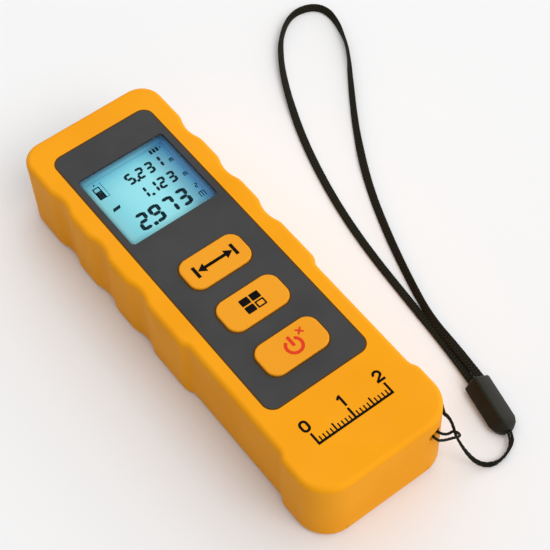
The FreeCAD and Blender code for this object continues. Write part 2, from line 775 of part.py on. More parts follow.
def build_rear_housing():
    body, whole = casing("rear_housing", "0", "parting_height")
    dress("Fillet", body, whole, "back_edge", "back_round", flat_at("0"))
    profile = sketch(body, "rear_hollow_profile", "parting_height")
    add_rectangle(profile, CAVITY_X, CAVITY_Y, "cavity_corner")
    pocket(body, profile, "rear_hollow", "parting_height - rear_floor")
    profile = sketch(body, "bay_profile", "rear_floor")
    add_rectangle(profile, ("-(bay_half + bay_wall)", "bay_half + bay_wall"),
                  ("bay_low - bay_end", "bay_high + bay_end"), "bay_corner")
    pad(body, profile, "bay_block", "bay_inside + bay_roof - rear_floor")
    for name, level, places, radius in (
            ("collar", "parting_height", SCREW_PLACES, "boss_radius"),
            ("post", "ear_level", POST_PLACES, "post_radius")):
        profile = sketch(body, name + "_profile", "rear_floor")
        for x, y in places:
            add_circle(profile, x, y, radius)
        pad(body, profile, name, f"{level} - rear_floor")
    profile = sketch(body, "bay_inside_profile", "0")
    add_rectangle(profile, ("-bay_half", "bay_half"), ("bay_low", "bay_high"),
                  "bay_corner - bay_wall")
    pocket(body, profile, "bay_hollow", "bay_inside", reverse=True)
    profile = sketch(body, "mouth_profile", "0")
    add_rectangle(profile, ("-bay_half", "bay_half"), ("-body_length / 2", "bay_high"))
    pocket(body, profile, "bay_mouth", "rear_floor", reverse=True)
    profile = sketch(body, "end_gate_profile", "0")
    add_rectangle(profile, ("-bay_half", "bay_half"), ("-body_length / 2", "bay_low"))
    pocket(body, profile, "end_gate", "parting_height + fit_gap", reverse=True)
    profile = sketch(body, "groove_profile", "tongue_level - running_gap")
    groove = "bay_half + tongue_depth"
    add_rectangle(profile, (f"-({groove})", groove), ("-body_length / 2", "bay_high"))
    pocket(body, profile, "groove", "tongue_thick + 2 * running_gap", reverse=True)
    profile = sketch(body, "leg_slot_profile", "bay_inside + bay_roof")
    for side in (-1, 1):
        middle = f"{side} * cell_offset"
        add_rectangle(profile, (f"{middle} - leg_width / 2 - fit_gap", f"{middle} + leg_width / 2 + fit_gap"),
                      ("bay_high - plate_thick - fit_gap", "bay_high"))
    pocket(body, profile, "leg_slots", "bay_roof")
    reach = "screw_sink + screw_length + fit_gap"
    for name, level, places, radius, depth, upward in (
            ("screw_hole", "0", SCREW_PLACES, "screw_shank + fit_gap", reach, True),
            ("head_hole", "0", SCREW_PLACES, "screw_head + running_gap", "screw_sink", True),
            ("post_hole", "ear_level", POST_PLACES, "small_shank", "small_length", False)):
        profile = sketch(body, name + "_profile", level)
        for x, y in places:
            add_circle(profile, x, y, radius)
        pocket(body, profile, name, depth, reverse=upward)


def build_battery_cover():
    body = new_body("battery_cover")
    half = "bay_half - running_gap"
    low = "cover_end_gap - body_length / 2"
    high = "bay_high - running_gap"
    profile = sketch(body, "cover_profile", "0")
    add_rectangle(profile, (f"-({half})", half), (low, high))
    pad(body, profile, "cover_plate", "cover_thick")
    profile = sketch(body, "lip_profile", "0")
    add_rectangle(profile, (f"-({half})", half), (low, f"{low} + cover_lip"))
    lip = pad(body, profile, "cover_end", "parting_height - fit_gap")
    end = number(low)
    dress("Fillet", body, lip, "cover_end_round", "back_round",
          lambda edge: edge.BoundBox.ZMax < 1e-6 and abs(edge.BoundBox.YMax - end) < 1e-6)
    profile = sketch(body, "tongue_profile", "tongue_level")
    tongue = f"{half} + tongue_depth"
    add_rectangle(profile, (f"-({tongue})", tongue), (f"{low} + cover_lip", high))
    pad(body, profile, "cover_tongues", "tongue_thick")
    profile = sketch(body, "thumb_profile", "0")
    thumb_y = ("grip_low", "grip_low + grip_length")
    add_rectangle(profile, ("-grip_half", "grip_half"), thumb_y, "panel_corner")
    pocket(body, profile, "thumb_recess", "grip_depth", reverse=True)
    profile = sketch(body, "rib_profile", "grip_depth")
    for index in (-1, 0, 1):
        middle = f"grip_low + grip_length / 2 + {index} * rib_pitch"
        add_rectangle(profile, ("-rib_half", "rib_half"),
                      (f"{middle} - rib_width / 2", f"{middle} + rib_width / 2"))
    pad(body, profile, "thumb_ribs", "grip_depth", reverse=True)
    node("cover_foam_pad", box("cover_foam_pad", ("-pad_half", "pad_half"),
                               ("bay_low + pad_end", "bay_high - pad_end"),
                               ("cover_thick", "cover_thick + pad_thick")))


def build_face():
    body = new_body("face_panel")
    profile = sketch(body, "panel_profile", "panel_bottom")
    add_rectangle(profile, *panel_limits("0"))
    add_rectangle(profile, *window_limits("0"))
    for centre in BUTTON_CENTRES:
        add_rectangle(profile, *button_limits(centre, "key_gap"))
    sheet_pad = pad(body, profile, "panel_sheet", "panel_thick")
    dress("Chamfer", body, sheet_pad, "panel_edges", "fit_gap", flat_at("panel_top"))
    body = new_body("panel_adhesive")
    profile = sketch(body, "glue_profile", "glue_bottom")
    add_rectangle(profile, *panel_limits("-glue_margin"))
    add_rectangle(profile, *window_limits("-window_ledge"))
    for centre in BUTTON_CENTRES:
        add_rectangle(profile, *button_limits(centre, "glue_margin"))
    pad(body, profile, "glue_sheet", "glue_thick")
    body = new_body("display_window")
    profile = sketch(body, "window_profile", "panel_bottom")
    add_rectangle(profile, *window_limits("-fit_gap"))
    pane = pad(body, profile, "window_pane", "panel_thick")
    dress("Chamfer", body, pane, "window_edges", "fit_gap", flat_at("panel_top"))


def build_buttons():
    flange_top = "ceiling - flange_rest"
    flange_bottom = f"{flange_top} - flange_thick"
    cases = []
    for name, centre in zip(BUTTON_NAMES, BUTTON_CENTRES):
        body = new_body(name + "_button")
        profile = sketch(body, name + "_flange_profile", flange_bottom)
        add_rectangle(profile, *button_limits(centre, "flange_rim"))
        pad(body, profile, name + "_flange", "flange_thick")
        profile = sketch(body, name + "_cap_profile", flange_top)
        add_rectangle(profile, *button_limits(centre, "0"))
        cap = pad(body, profile, name + "_cap", f"panel_top + button_rise - ({flange_top})")
        crown = flat_at("panel_top + button_rise")
        dress("Fillet", body, cap, name + "_cap_round", "button_edge", crown)
        node(name + "_plunger", rod(name + "_plunger", "z", "plunger_radius", ("0", centre),
                                    (f"{flange_bottom} - plunger_length", flange_bottom)))
        case = box(name + "_switch_block", ("-switch_side / 2", "switch_side / 2"),
                   (f"{centre} - switch_side / 2", f"{centre} + switch_side / 2"),
                   ("board_top", "board_top + switch_height"))
        bore = rod(name + "_switch_bore", "z", "plunger_radius + running_gap", ("0", centre),
                   ("board_top", "board_top + switch_height"))
        cases.append(cut(name + "_switch", case, [bore]))
    node("key_switches", group("key_switches", cases))


def build_display():
    glass_middle = "glass_top - glass_thick / 2"
    x, y = glass_limits("glass_width", "glass_length")
    upper_y = (f"{y[0]} + glass_ledge", y[1])
    lower = box("glass_lower", x, y, ("glass_bottom", glass_middle))
    upper = box("glass_upper", x, upper_y, (glass_middle, "glass_top"))
    node("display_glass", fuse("display_glass", [lower, upper]))
    node("backlight_plate", box("backlight_plate", x, upper_y, ("board_top", "glass_bottom")))
    strip_x = ("-strip_length / 2", "strip_length / 2")
    strip_y = (f"{y[0]} + fit_gap", f"{y[0]} + fit_gap + strip_width")
    node("contact_strip", box("contact_strip", strip_x, strip_y, ("board_top", "glass_bottom")))
    outer_x, outer_y = glass_limits("frame_width", "frame_length")
    inner_x, inner_y = glass_limits("(glass_width + 2 * fit_gap)", "(glass_length + 2 * fit_gap)")
    frame_block = box("frame_block", outer_x, outer_y, ("board_top", "ceiling"))
    frame_hole = box("frame_hole", inner_x, inner_y, ("board_top", "ceiling"))
    node("display_frame", cut("display_frame", frame_block, [frame_hole]))
    hole_x, hole_y, corner = window_limits("fit_gap - window_ledge")
    gasket_block = box("gasket_block", x, upper_y, ("glass_top", "ceiling"))
    gasket_hole = box("gasket_hole", hole_x, hole_y, ("glass_top", "ceiling"))
    node("display_gasket", cut("display_gasket", gasket_block, [gasket_hole]))


def build_electronics():
    body = new_body("main_board")
    profile = sketch(body, "board_profile", "board_bottom")
    add_rectangle(profile, ("-board_half", "board_half"), ("board_low", "board_high"))
    pad(body, profile, "board_sheet", "board_thick")
    profile = sketch(body, "board_bites_profile", "board_top")
    for x, y in SCREW_PLACES:
        add_circle(profile, x, y, "boss_radius + key_gap")
    pocket(body, profile, "board_bites", "board_thick")
    profile = sketch(body, "board_holes_profile", "board_top")
    for x, y in SMALL_PLACES:
        add_circle(profile, x, y, "small_shank + fit_gap")
    pocket(body, profile, "board_holes", "board_thick")
    chip_y = ("chip_centre - chip_side / 2", "chip_centre + chip_side / 2")
    chip_z = ("board_bottom - chip_height", "board_bottom")
    node("microcontroller", box("microcontroller", ("-chip_side / 2", "chip_side / 2"), chip_y, chip_z))
    blocks = []
    for index, (x, rise, width, length, height) in enumerate(SMALL_PARTS):
        span = ("board_top", f"board_top + {height}")
        if height < 0:
            span = (f"board_bottom - {-height}", "board_bottom")
        block_x = (f"{x} - {width} / 2", f"{x} + {width} / 2")
        block_y = (f"board_low + {rise} - {length} / 2", f"board_low + {rise} + {length} / 2")
        blocks.append(box(f"component_{index}", block_x, block_y, span))
    node("board_components", group("board_components", blocks))
    buzzer_low = "board_bottom - buzzer_height"
    drum = rod("buzzer_drum", "z", "buzzer_radius", ("buzzer_x", "buzzer_y"), (buzzer_low, "board_bottom"))
    mouth = rod("buzzer_mouth", "z", "buzzer_mouth", ("buzzer_x", "buzzer_y"),
                (buzzer_low, f"{buzzer_low} + buzzer_mouth"))
    node("buzzer", cut("buzzer", drum, [mouth]))


def lens(label, radius, centre, seat, thick, curve):
    """Flat toward the device, domed toward the light."""
    disc = rod(label + "_disc", "y", radius, centre, (seat, f"{seat} + {thick}"))
    ball = doc.addObject("Part::Sphere", label + "_ball")
    bind(ball, "Radius", curve)
    for axis, text in zip("xyz", (centre[0], f"{seat} + {thick} - {curve}", centre[1])):
        bind(ball, f"Placement.Base.{axis}", text)
    item = doc.addObject("Part::Common", label)
    item.Base = disc
    item.Tool = ball
    node(label, item)


def build_chassis():
    block = box("chassis_block", ("-chassis_half", "chassis_half"), ("chassis_low", "chassis_high"),
                ("chassis_bottom", "chassis_top"))
    ear_top = "ear_level + ear_thick"
    solids = [block]
    for name in ("post_low", "post_high"):
        ear_y = (f"{name} - ear_width / 2", f"{name} + ear_width / 2")
        solids.append(box(name + "_ear", ("-ear_half", "ear_half"), ear_y, ("ear_level", ear_top)))
    sensor_end = "chassis_low + sensor_length + small_head_high"
    barrel_end = "barrel_low - diode_seat"
    tools = [
        rod("receiver_seat", "y", "lens_radius + running_gap / 3", RECEIVER, ("lens_seat", "chassis_high")),
        taper("receiver_funnel", "y", ("funnel_small", "lens_radius - ring_width"), RECEIVER,
              (sensor_end, "lens_seat")),
        rod("sensor_seat", "y", "sensor_radius + running_gap", RECEIVER, ("chassis_low", sensor_end)),
        rod("barrel_seat", "y", "barrel_radius + running_gap / 3", LASER, (barrel_end, "chassis_high")),
        rod("flex_way", "y", "barrel_bore", LASER, ("chassis_low", barrel_end)),
    ]
    for index, (x, y) in enumerate(POST_PLACES):
        tools.append(rod(f"ear_hole_{index}", "z", "small_shank + fit_gap", (x, y), ("ear_level", ear_top)))
    node("optical_chassis", cut("optical_chassis", fuse("chassis_solid", solids), tools))


def build_optics():
    build_chassis()
    lens("receiver_lens", "lens_radius", RECEIVER, "lens_seat", "lens_thick", "lens_curve")
    ring_low = "lens_seat + lens_thick - ring_bite"
    ring_span = (ring_low, f"{ring_low} + ring_thick")
    ring_disc = rod("ring_disc", "y", "lens_radius", RECEIVER, ring_span)
    ring_hole = rod("ring_hole", "y", "lens_radius - ring_width", RECEIVER, ring_span)
    node("lens_ring", cut("lens_ring", ring_disc, [ring_hole]))
    board_x = ("receiver_offset - receiver_board_inner", "receiver_offset + receiver_board_outer")
    board_y = ("chassis_low - receiver_board_thick", "chassis_low")
    board_z = ("chassis_bottom + receiver_board_clear", "board_bottom")
    node("receiver_board", box("receiver_board", board_x, board_y, board_z))
    sensor_span = ("chassis_low", "chassis_low + sensor_length")
    node("receiver_sensor", rod("receiver_sensor", "y", "sensor_radius", RECEIVER, sensor_span))
    tube = rod("barrel_tube", "y", "barrel_radius", LASER, ("barrel_low", "barrel_high"))
    hollow = rod("barrel_hollow", "y", "barrel_bore", LASER, ("barrel_low", "barrel_high - barrel_lip"))
    mouth = rod("barrel_exit", "y", "barrel_mouth", LASER, ("barrel_low", "barrel_high"))
    node("laser_barrel", cut("laser_barrel", tube, [hollow, mouth]))
    lens_low = "barrel_high - barrel_lip - laser_lens_thick"
    lens("laser_lens", "barrel_bore", LASER, lens_low, "laser_lens_thick", "laser_lens_curve")
    diode_low = "barrel_low + diode_seat"
    can = rod("diode_can", "y", "diode_radius", LASER, (diode_low, f"{diode_low} + diode_length"))
    flange = rod("diode_flange", "y", "barrel_bore", LASER, (diode_low, f"{diode_low} + diode_flange"))
    node("laser_diode", fuse("laser_diode", [can, flange]))
    flex_x = ("laser_offset - flex_width / 2", "laser_offset + flex_width / 2")
    flex_y = "chassis_low - flex_back"
    run = box("flex_run", flex_x, (flex_y, diode_low), ("optic_level", "optic_level + flex_thick"))
    rise = box("flex_rise", flex_x, (flex_y, f"{flex_y} + flex_thick"), ("optic_level", "board_bottom"))
    node("laser_flex", fuse("laser_flex", [run, rise]))


def build_front_plate():
    back = "body_length / 2 - plate_sink"
    face = "body_length / 2 - cover_end_gap"
    body = new_body("front_plate")
    profile = sketch(body, "plate_profile", f"-({back})", role="XZ_Plane")
    add_rectangle(profile, ("fit_gap - plate_width / 2", "plate_width / 2 - fit_gap"),
                  ("plate_low + fit_gap", "plate_high - fit_gap"), "plate_corner - fit_gap")
    pad(body, profile, "plate_sheet", f"{face} - ({back})", reverse=True)
    for name, grow, depth in (("pane_seats", "fit_gap / 2", "glazing_thick + fit_gap / 2"),
                              ("pane_mouths", "-glazing_lip", "plate_sink")):
        profile = sketch(body, name + "_profile", f"-({back})", role="XZ_Plane")
        add_circle(profile, *RECEIVER, f"receiver_pane + {grow}")
        add_circle(profile, *LASER, f"laser_pane + {grow}")
        pocket(body, profile, name, depth)
    pane_span = (f"{back} + fit_gap / 2", f"{back} + fit_gap / 2 + glazing_thick")
    for name, centre in (("receiver", RECEIVER), ("laser", LASER)):
        node(name + "_window", rod(name + "_window", "y", name + "_pane", centre, pane_span))


def build_spring(name, x, start, widening):
    """A conical coil between a contact plate and the flat end of a cell."""
    wire, pitch = number("spring_wire"), number("spring_pitch")
    first, last = number("spring_radius"), number("spring_narrow")
    if widening:
        first, last = last, first
    low = number(f"{start} + spring_slack") + wire / 2
    rise = number("spring_room - 2 * spring_slack") - wire
    steps = round(COIL_STEPS * rise / pitch)
    spots = []
    for step in range(steps + 1):
        share = step / steps
        angle = math.tau * step / COIL_STEPS
        radius = first + (last - first) * share
        spots.append((number(x) + radius * math.cos(angle), low + rise * share,
                      number("cell_level") + radius * math.sin(angle)))
    spring = doc.addObject("Part::Feature", name)
    spring.Shape = tube_along(spots, wire)[0]
    return spring


def build_power():
    low_plate = ("bay_low", "bay_low + plate_thick")
    high_plate = ("bay_high - plate_thick", "bay_high")
    plate_z = ("cell_level - plate_foot", "cell_level + plate_head")
    plates = [box("plate_bridge", ("-plate_half", "plate_half"), low_plate, plate_z)]
    for side in (-1, 1):
        x = f"{side} * cell_offset"
        sheet_x = (f"{x} - plate_side", f"{x} + plate_side")
        leg_x = (f"{x} - leg_width / 2", f"{x} + leg_width / 2")
        contact = box(f"contact_{side + 1}", sheet_x, high_plate, plate_z)
        leg = box(f"leg_{side + 1}", leg_x, high_plate, ("cell_level", "board_bottom"))
        plates.append(fuse(f"plate_leg_{side + 1}", [contact, leg]))
    node("battery_plates", group("battery_plates", plates))
    # the left cell points to the laser end, the right cell to the foot
    left_can = (f"{low_plate[1]} + spring_room", f"{high_plate[0]} - nub_length")
    left_nub = (left_can[1], high_plate[0])
    right_can = (f"{low_plate[1]} + nub_length", f"{high_plate[0]} - spring_room")
    right_nub = (low_plate[1], right_can[0])
    cells = (("battery_left", -1, left_can, left_nub), ("battery_right", 1, right_can, right_nub))
    for label, side, can, nub in cells:
        centre = (f"{side} * cell_offset", "cell_level")
        node(label, fuse(label, [rod(label + "_can", "y", "cell_radius", centre, can),
                                 rod(label + "_nub", "y", "nub_radius", centre, nub)]))
    springs = [build_spring("spring_left", "-cell_offset", low_plate[1], False),
               build_spring("spring_right", "cell_offset", right_can[1], True)]
    node("battery_springs", group("battery_springs", springs))


def screw(name, place, seat, head, shank, length, downward=False):
    """A screw whose head rests on the seat level; its shank runs up, or down where set."""
    x, y = place
    head_high = head + "_high"
    slot_high = f"{head_high} * slot_depth"
    head_span = (f"{seat} - {head_high}", seat)
    shank_span = (seat, f"{seat} + {length}")
    slot_span = (head_span[0], f"{head_span[0]} + {slot_high}")
    if downward:
        head_span = (seat, f"{seat} + {head_high}")
        shank_span = (f"{seat} - {length}", seat)
        slot_span = (f"{head_span[1]} - {slot_high}", head_span[1])
    body = fuse(name + "_body", [rod(name + "_head", "z", head, (x, y), head_span),
                                 rod(name + "_shank", "z", shank, (x, y), shank_span)])
    long, thin = f"{head} * slot_long", f"{head} * slot_thin"
    slots = []
    for label, half_x, half_y in (("a", long, thin), ("b", thin, long)):
        slots.append(box(f"{name}_slot_{label}", (f"{x} - {half_x}", f"{x} + {half_x}"),
                         (f"{y} - {half_y}", f"{y} + {half_y}"), slot_span))
    return cut(name, body, slots)


def build_screws():
    small = ("small_head", "small_shank", "small_length")
    families = (
        ("housing_screws", SCREW_PLACES, "screw_sink", ("screw_head", "screw_shank", "screw_length"), False),
        ("board_screws", SMALL_PLACES, "board_bottom", small, False),
        ("chassis_screws", POST_PLACES, "ear_level + ear_thick", small, True),
    )
    for label, places, seat, sizes, downward in families:
        screws = []
        for index, place in enumerate(places):
            screws.append(screw(f"{label}_{index}", place, seat, *sizes, downward))
        node(label, group(label, screws))


# ---- wrist strap --------------------------------------------------------------------------------

def build_joiner():
    body = new_body("strap_joiner")
    profile = sketch(body, "joiner_profile", "0", role="XZ_Plane")
    levels = (("joiner_foot", "0"), ("joiner_width", "joiner_waist"), ("joiner_ridge", "joiner_height"))
    half = [(f"{width} / 2", level) for width, level in levels]
    corners = half + [("-" + x, z) for x, z in reversed(half)]
    spots = [(number(x), number(z)) for x, z in corners]
    sides = [profile.addGeometry(line(*spots[index], *spots[(index + 1) % 6])) for index in range(6)]
    for index, (x, z) in enumerate(corners):
        profile.addConstraint(Sketcher.Constraint("Coincident", sides[index - 1], 2, sides[index], 1))
        limit(profile, "DistanceX", sides[index], 1, x)
        limit(profile, "DistanceY", sides[index], 1, z)
    prism = pad(body, profile, "joiner_prism", "joiner_length")
    dress("Fillet", body, prism, "joiner_rounds", "joiner_round",
          lambda edge: edge.BoundBox.ZMin > 1e-6)
    body.Placement = FreeCAD.Placement(FreeCAD.Vector(), FreeCAD.Rotation(FreeCAD.Vector(0, 0, 1), 1))
    bind(body, "Placement.Rotation.Angle", "joiner_turn")
    bind(body, "Placement.Base.x", "joiner_x")
    bind(body, "Placement.Base.y", "joiner_y")


def route_tube(label, route, width):
    """A cord's tube, with its length and radii printed."""
    item = doc.addObject("Part::Feature", label)
    item.Shape, length, radii = tube_along(route, number(width))
    expected = math.pi * (number(width) / 2) ** 2 * length
    print(label, "length", round(length, 1), "radii", radii,
          "volume ratio", round(item.Shape.Volume / expected, 4))
    node(label, item)


def build_strap():
    build_joiner()
    route_tube("strap_loop", STRAP_ROUTE, "strap_width")
    route_tube("strap_tether", TETHER_ROUTE, "tether_width")


build_front_housing()
build_rear_housing()
build_battery_cover()
build_face()
build_buttons()
build_display()
build_electronics()
build_optics()
build_front_plate()
build_power()
build_screws()
build_strap()
doc.recompute()

# ---- checks and files ---------------------------------------------------------------------------
for item in doc.Objects:
    if "Invalid" in item.State or "Error" in item.State:
        raise RuntimeError(f"{item.Name}: {item.State}")
    if item.TypeId == "PartDesign::Pocket":
        removed = item.BaseFeature.Shape.Volume - item.Shape.Volume
        if removed < 1e-3:
            raise RuntimeError(f"{item.Name} cuts nothing")
for item in nodes:
    if item.Shape.isNull() or not item.Shape.isValid() or not item.Shape.Solids:
        raise RuntimeError(f"{item.Label} has no valid solid")

os.makedirs("parts", exist_ok=True)
for item in nodes:
    item.Shape.exportStep(f"parts/{item.Label}.step")
    bounds = item.Shape.BoundBox
    lows = (bounds.XMin, bounds.YMin, bounds.ZMin)
    highs = (bounds.XMax, bounds.YMax, bounds.ZMax)
    print(item.Label, len(item.Shape.Solids), round(item.Shape.Volume, 1),
          [(round(low, 2), round(high, 2)) for low, high in zip(lows, highs)])
print(len(nodes), "nodes")
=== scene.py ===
import math
import bpy
from mathutils import Matrix, Vector


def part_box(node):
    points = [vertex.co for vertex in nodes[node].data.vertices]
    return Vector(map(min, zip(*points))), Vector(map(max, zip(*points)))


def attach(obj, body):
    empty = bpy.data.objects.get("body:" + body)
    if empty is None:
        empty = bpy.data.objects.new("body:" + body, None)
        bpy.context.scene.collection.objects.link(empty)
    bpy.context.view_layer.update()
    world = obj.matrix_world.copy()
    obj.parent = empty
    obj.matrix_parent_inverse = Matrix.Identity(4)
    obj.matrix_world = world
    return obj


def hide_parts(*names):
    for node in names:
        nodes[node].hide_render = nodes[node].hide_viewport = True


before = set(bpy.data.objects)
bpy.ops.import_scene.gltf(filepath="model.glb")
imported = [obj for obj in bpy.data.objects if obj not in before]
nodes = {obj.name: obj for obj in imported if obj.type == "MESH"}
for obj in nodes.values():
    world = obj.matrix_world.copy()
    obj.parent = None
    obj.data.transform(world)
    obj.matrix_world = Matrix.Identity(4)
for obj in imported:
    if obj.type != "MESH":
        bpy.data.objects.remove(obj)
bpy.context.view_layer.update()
scene = bpy.context.scene
MM = 0.001


# ---------------------------------------------------------------- camera

FOCAL_LENGTH, SENSOR_WIDTH = 101.707, 36.0
CAMERA_PLACE = Vector((-102.71, -170.43, 312.85))
CAMERA_ACROSS = Vector((0.79628, -0.60401, -0.03337))
CAMERA_UP = Vector((0.51544, 0.64857, 0.56008))


def place_camera():
    """Camera over the foot end, left of the meter, looking down at its face."""
    lens = bpy.data.cameras.new("face_camera")
    lens.lens = FOCAL_LENGTH
    lens.sensor_width = SENSOR_WIDTH
    lens.clip_start = 0.01
    lens.clip_end = 20.0
    camera = bpy.data.objects.new("face_camera", lens)
    back = CAMERA_ACROSS.cross(CAMERA_UP)
    turn = Matrix((CAMERA_ACROSS, CAMERA_UP, back)).transposed().to_4x4()
    camera.matrix_world = Matrix.Translation(CAMERA_PLACE * MM) @ turn
    scene.collection.objects.link(camera)
    scene.camera = camera


place_camera()


# ---------------------------------------------------------------- mesh helpers

def solid(name, points, faces, finish, body="casing", smooth=True):
    """A mesh piece, given in the part's own frame in millimetres, that rides on a body."""
    mesh = bpy.data.meshes.new(name)
    mesh.from_pydata([Vector(p) * MM for p in points], [], faces)
    mesh.validate()
    mesh.update()
    piece = bpy.data.objects.new(name, mesh)
    scene.collection.objects.link(piece)
    mesh.materials.append(finish)
    if smooth:
        mesh.shade_smooth()
    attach(piece, body)
    return piece


def joined_prisms(name, outlines, low, high, finish, body="casing"):
    """One piece of upright prisms, each from a closed outline of (x, y) points."""
    points, faces = [], []
    for outline in outlines:
        first, count = len(points), len(outline)
        points += [(x, y, low) for x, y in outline] + [(x, y, high) for x, y in outline]
        faces.append([first + i for i in reversed(range(count))])
        faces.append([first + count + i for i in range(count)])
        for i in range(count):
            j = (i + 1) % count
            faces.append([first + i, first + j, first + count + j, first + count + i])
    return solid(name, points, faces, finish, body, smooth=False)


def rounded(x, y, half_x, half_y, corner, steps=6):
    """Outline of a rectangle with round corners, anticlockwise."""
    outline = []
    for turn, (sx, sy) in enumerate(((1, 1), (-1, 1), (-1, -1), (1, -1))):
        cx, cy = x + sx * (half_x - corner), y + sy * (half_y - corner)
        for step in range(steps + 1):
            angle = math.pi / 2 * (turn + step / steps)
            outline.append((cx + corner * math.cos(angle), cy + corner * math.sin(angle)))
    return outline


def bar(start, end, width):
    """Outline of a straight stroke with square ends."""
    along = Vector((end[0] - start[0], end[1] - start[1])).normalized()
    side = Vector((-along.y, along.x)) * width / 2
    a, b = Vector(start), Vector(end)
    return [tuple(a - side), tuple(b - side), tuple(b + side), tuple(a + side)]


def arc_band(x, y, radius, width, start, end, steps=40):
    """Outline of part of a ring, from one angle to another in degrees."""
    angles = [math.radians(start + (end - start) * i / steps) for i in range(steps + 1)]
    outer, inner = ([(x + edge * math.cos(a), y + edge * math.sin(a)) for a in angles]
                    for edge in (radius + width / 2, radius - width / 2))
    return outer + inner[::-1]


def lofted_faces(rings, count):
    """Faces of a closed tube through rings of as many points each, with its two ends shut."""
    faces = []
    for ring in range(rings - 1):
        for k in range(count):
            j = (k + 1) % count
            faces.append([ring * count + k, ring * count + j, (ring + 1) * count + j, (ring + 1) * count + k])
    faces.append(list(reversed(range(count))))
    faces.append([(rings - 1) * count + k for k in range(count)])
    return faces


def frame_ring(name, outer, inner, levels, finish, body="casing"):
    """A closed frame; its section goes round outer-low, outer-high, inner-high and inner-low."""
    rings = [(outer, levels[0]), (outer, levels[1]), (inner, levels[2]), (inner, levels[3])]
    count = len(outer)
    points = [(x, y, z) for outline, z in rings for x, y in outline]
    faces = []
    for k in range(4):
        for i in range(count):
            j = (i + 1) % count
            a, b = k * count, (k + 1) % 4 * count
            faces.append([a + i, a + j, b + j, b + i])
    return solid(name, points, faces, finish, body, smooth=False)


# ---------------------------------------------------------------- surface effects

def effect(name, inputs, outputs):
    """A node group with named sockets; returns the group, its input node and its output node."""
    tree = bpy.data.node_groups.new(name, "ShaderNodeTree")
    kinds = {"value": "NodeSocketFloat", "colour": "NodeSocketColor", "vector": "NodeSocketVector"}
    for label, kind, start in inputs:
        socket = tree.interface.new_socket(label, in_out="INPUT", socket_type=kinds[kind])
        socket.default_value = start
    for label, kind in outputs:
        tree.interface.new_socket(label, in_out="OUTPUT", socket_type=kinds[kind])
    return tree, tree.nodes.new("NodeGroupInput"), tree.nodes.new("NodeGroupOutput")


def add(tree, kind, **settings):
    """A shader node whose sockets and settings are given by name."""
    node = tree.nodes.new(kind)
    for key, value in settings.items():
        if key in node.inputs:
            node.inputs[key].default_value = value
        else:
            setattr(node, key, value)
    return node


def math_node(tree, operation, first, second=None, clamp=False):
    """Result of a sum; each term is a number or what another node gives."""
    node = tree.nodes.new("ShaderNodeMath")
    node.operation = operation
    node.use_clamp = clamp
    for socket, value in zip(node.inputs, (first, second)):
        if isinstance(value, (int, float)):
            socket.default_value = value
        elif value is not None:
            tree.links.new(value, socket)
    return node.outputs[0]


def stretch(tree, value, low, gain):
    """How far a value lies above its low end, times a gain, kept between 0 and 1."""
    return math_node(tree, "MULTIPLY", math_node(tree, "SUBTRACT", value, low), gain, clamp=True)


def blend_colours(tree, share, first, second):
    """Mix of two colours; each term is a value or what another node gives."""
    node = tree.nodes.new("ShaderNodeMix")
    node.data_type = "RGBA"
    for socket, value in ((node.inputs["Factor"], share), (node.inputs[6], first), (node.inputs[7], second)):
        if hasattr(value, "is_output"):
            tree.links.new(value, socket)
        else:
            socket.default_value = value
    return node.outputs[2]


def object_point(tree):
    """The shaded point in the piece's own space."""
    return add(tree, "ShaderNodeTexCoord").outputs["Object"]


def noise_field(tree, **settings):
    """Noise laid out in the piece's own space."""
    field = add(tree, "ShaderNodeTexNoise", **settings)
    tree.links.new(object_point(tree), field.inputs["Vector"])
    return field


def raise_surface(tree, shader, height, strength, distance):
    """Bumps the shader's normal by a height."""
    bump = add(tree, "ShaderNodeBump", Strength=strength, Distance=distance)
    tree.links.new(height, bump.inputs["Height"])
    tree.links.new(bump.outputs["Normal"], shader.inputs["Normal"])


def build_moulding_grain():
    """Spark-eroded mould texture: fine pebbles over a slow ripple, with a value that drifts over the part."""
    tree, given, made = effect("moulding_grain",
                               [("Pebbles", "value", 2200.0), ("Ripple", "value", 60.0)],
                               [("Height", "value"), ("Drift", "value")])
    fine = noise_field(tree, Detail=2.0, Roughness=0.5)
    slow = noise_field(tree, Detail=1.0, Roughness=0.4)
    tree.links.new(given.outputs["Pebbles"], fine.inputs["Scale"])
    tree.links.new(given.outputs["Ripple"], slow.inputs["Scale"])
    height = math_node(tree, "ADD", math_node(tree, "MULTIPLY", fine.outputs["Fac"], 0.7),
                       math_node(tree, "MULTIPLY", slow.outputs["Fac"], 0.3))
    tree.links.new(height, made.inputs["Height"])
    tree.links.new(slow.outputs["Fac"], made.inputs["Drift"])
    return tree


def build_edge_wear_and_sheen():
    """Mask of the outer edges, broken up by noise: where hands polish them, and on the black rubber mostly a
    painted highlight along the slider's ridge.
    """
    tree, given, made = effect("edge_wear_and_sheen",
                               [("Amount", "value", 0.5), ("Breakup", "value", 400.0)],
                               [("Mask", "value")])
    rounded_normal = add(tree, "ShaderNodeBevel", samples=4, Radius=0.0004)
    surface = add(tree, "ShaderNodeNewGeometry")
    dot = add(tree, "ShaderNodeVectorMath", operation="DOT_PRODUCT")
    tree.links.new(rounded_normal.outputs["Normal"], dot.inputs[0])
    tree.links.new(surface.outputs["Normal"], dot.inputs[1])
    away = math_node(tree, "SUBTRACT", 1.0, dot.outputs["Value"])
    bend = math_node(tree, "MULTIPLY", away, 6.0, clamp=True)
    noise = noise_field(tree, Detail=3.0)
    tree.links.new(given.outputs["Breakup"], noise.inputs["Scale"])
    patch = stretch(tree, noise.outputs["Fac"], 0.35, 2.5)
    mask = math_node(tree, "MULTIPLY", math_node(tree, "MULTIPLY", bend, patch), given.outputs["Amount"])
    tree.links.new(mask, made.inputs["Mask"])
    return tree


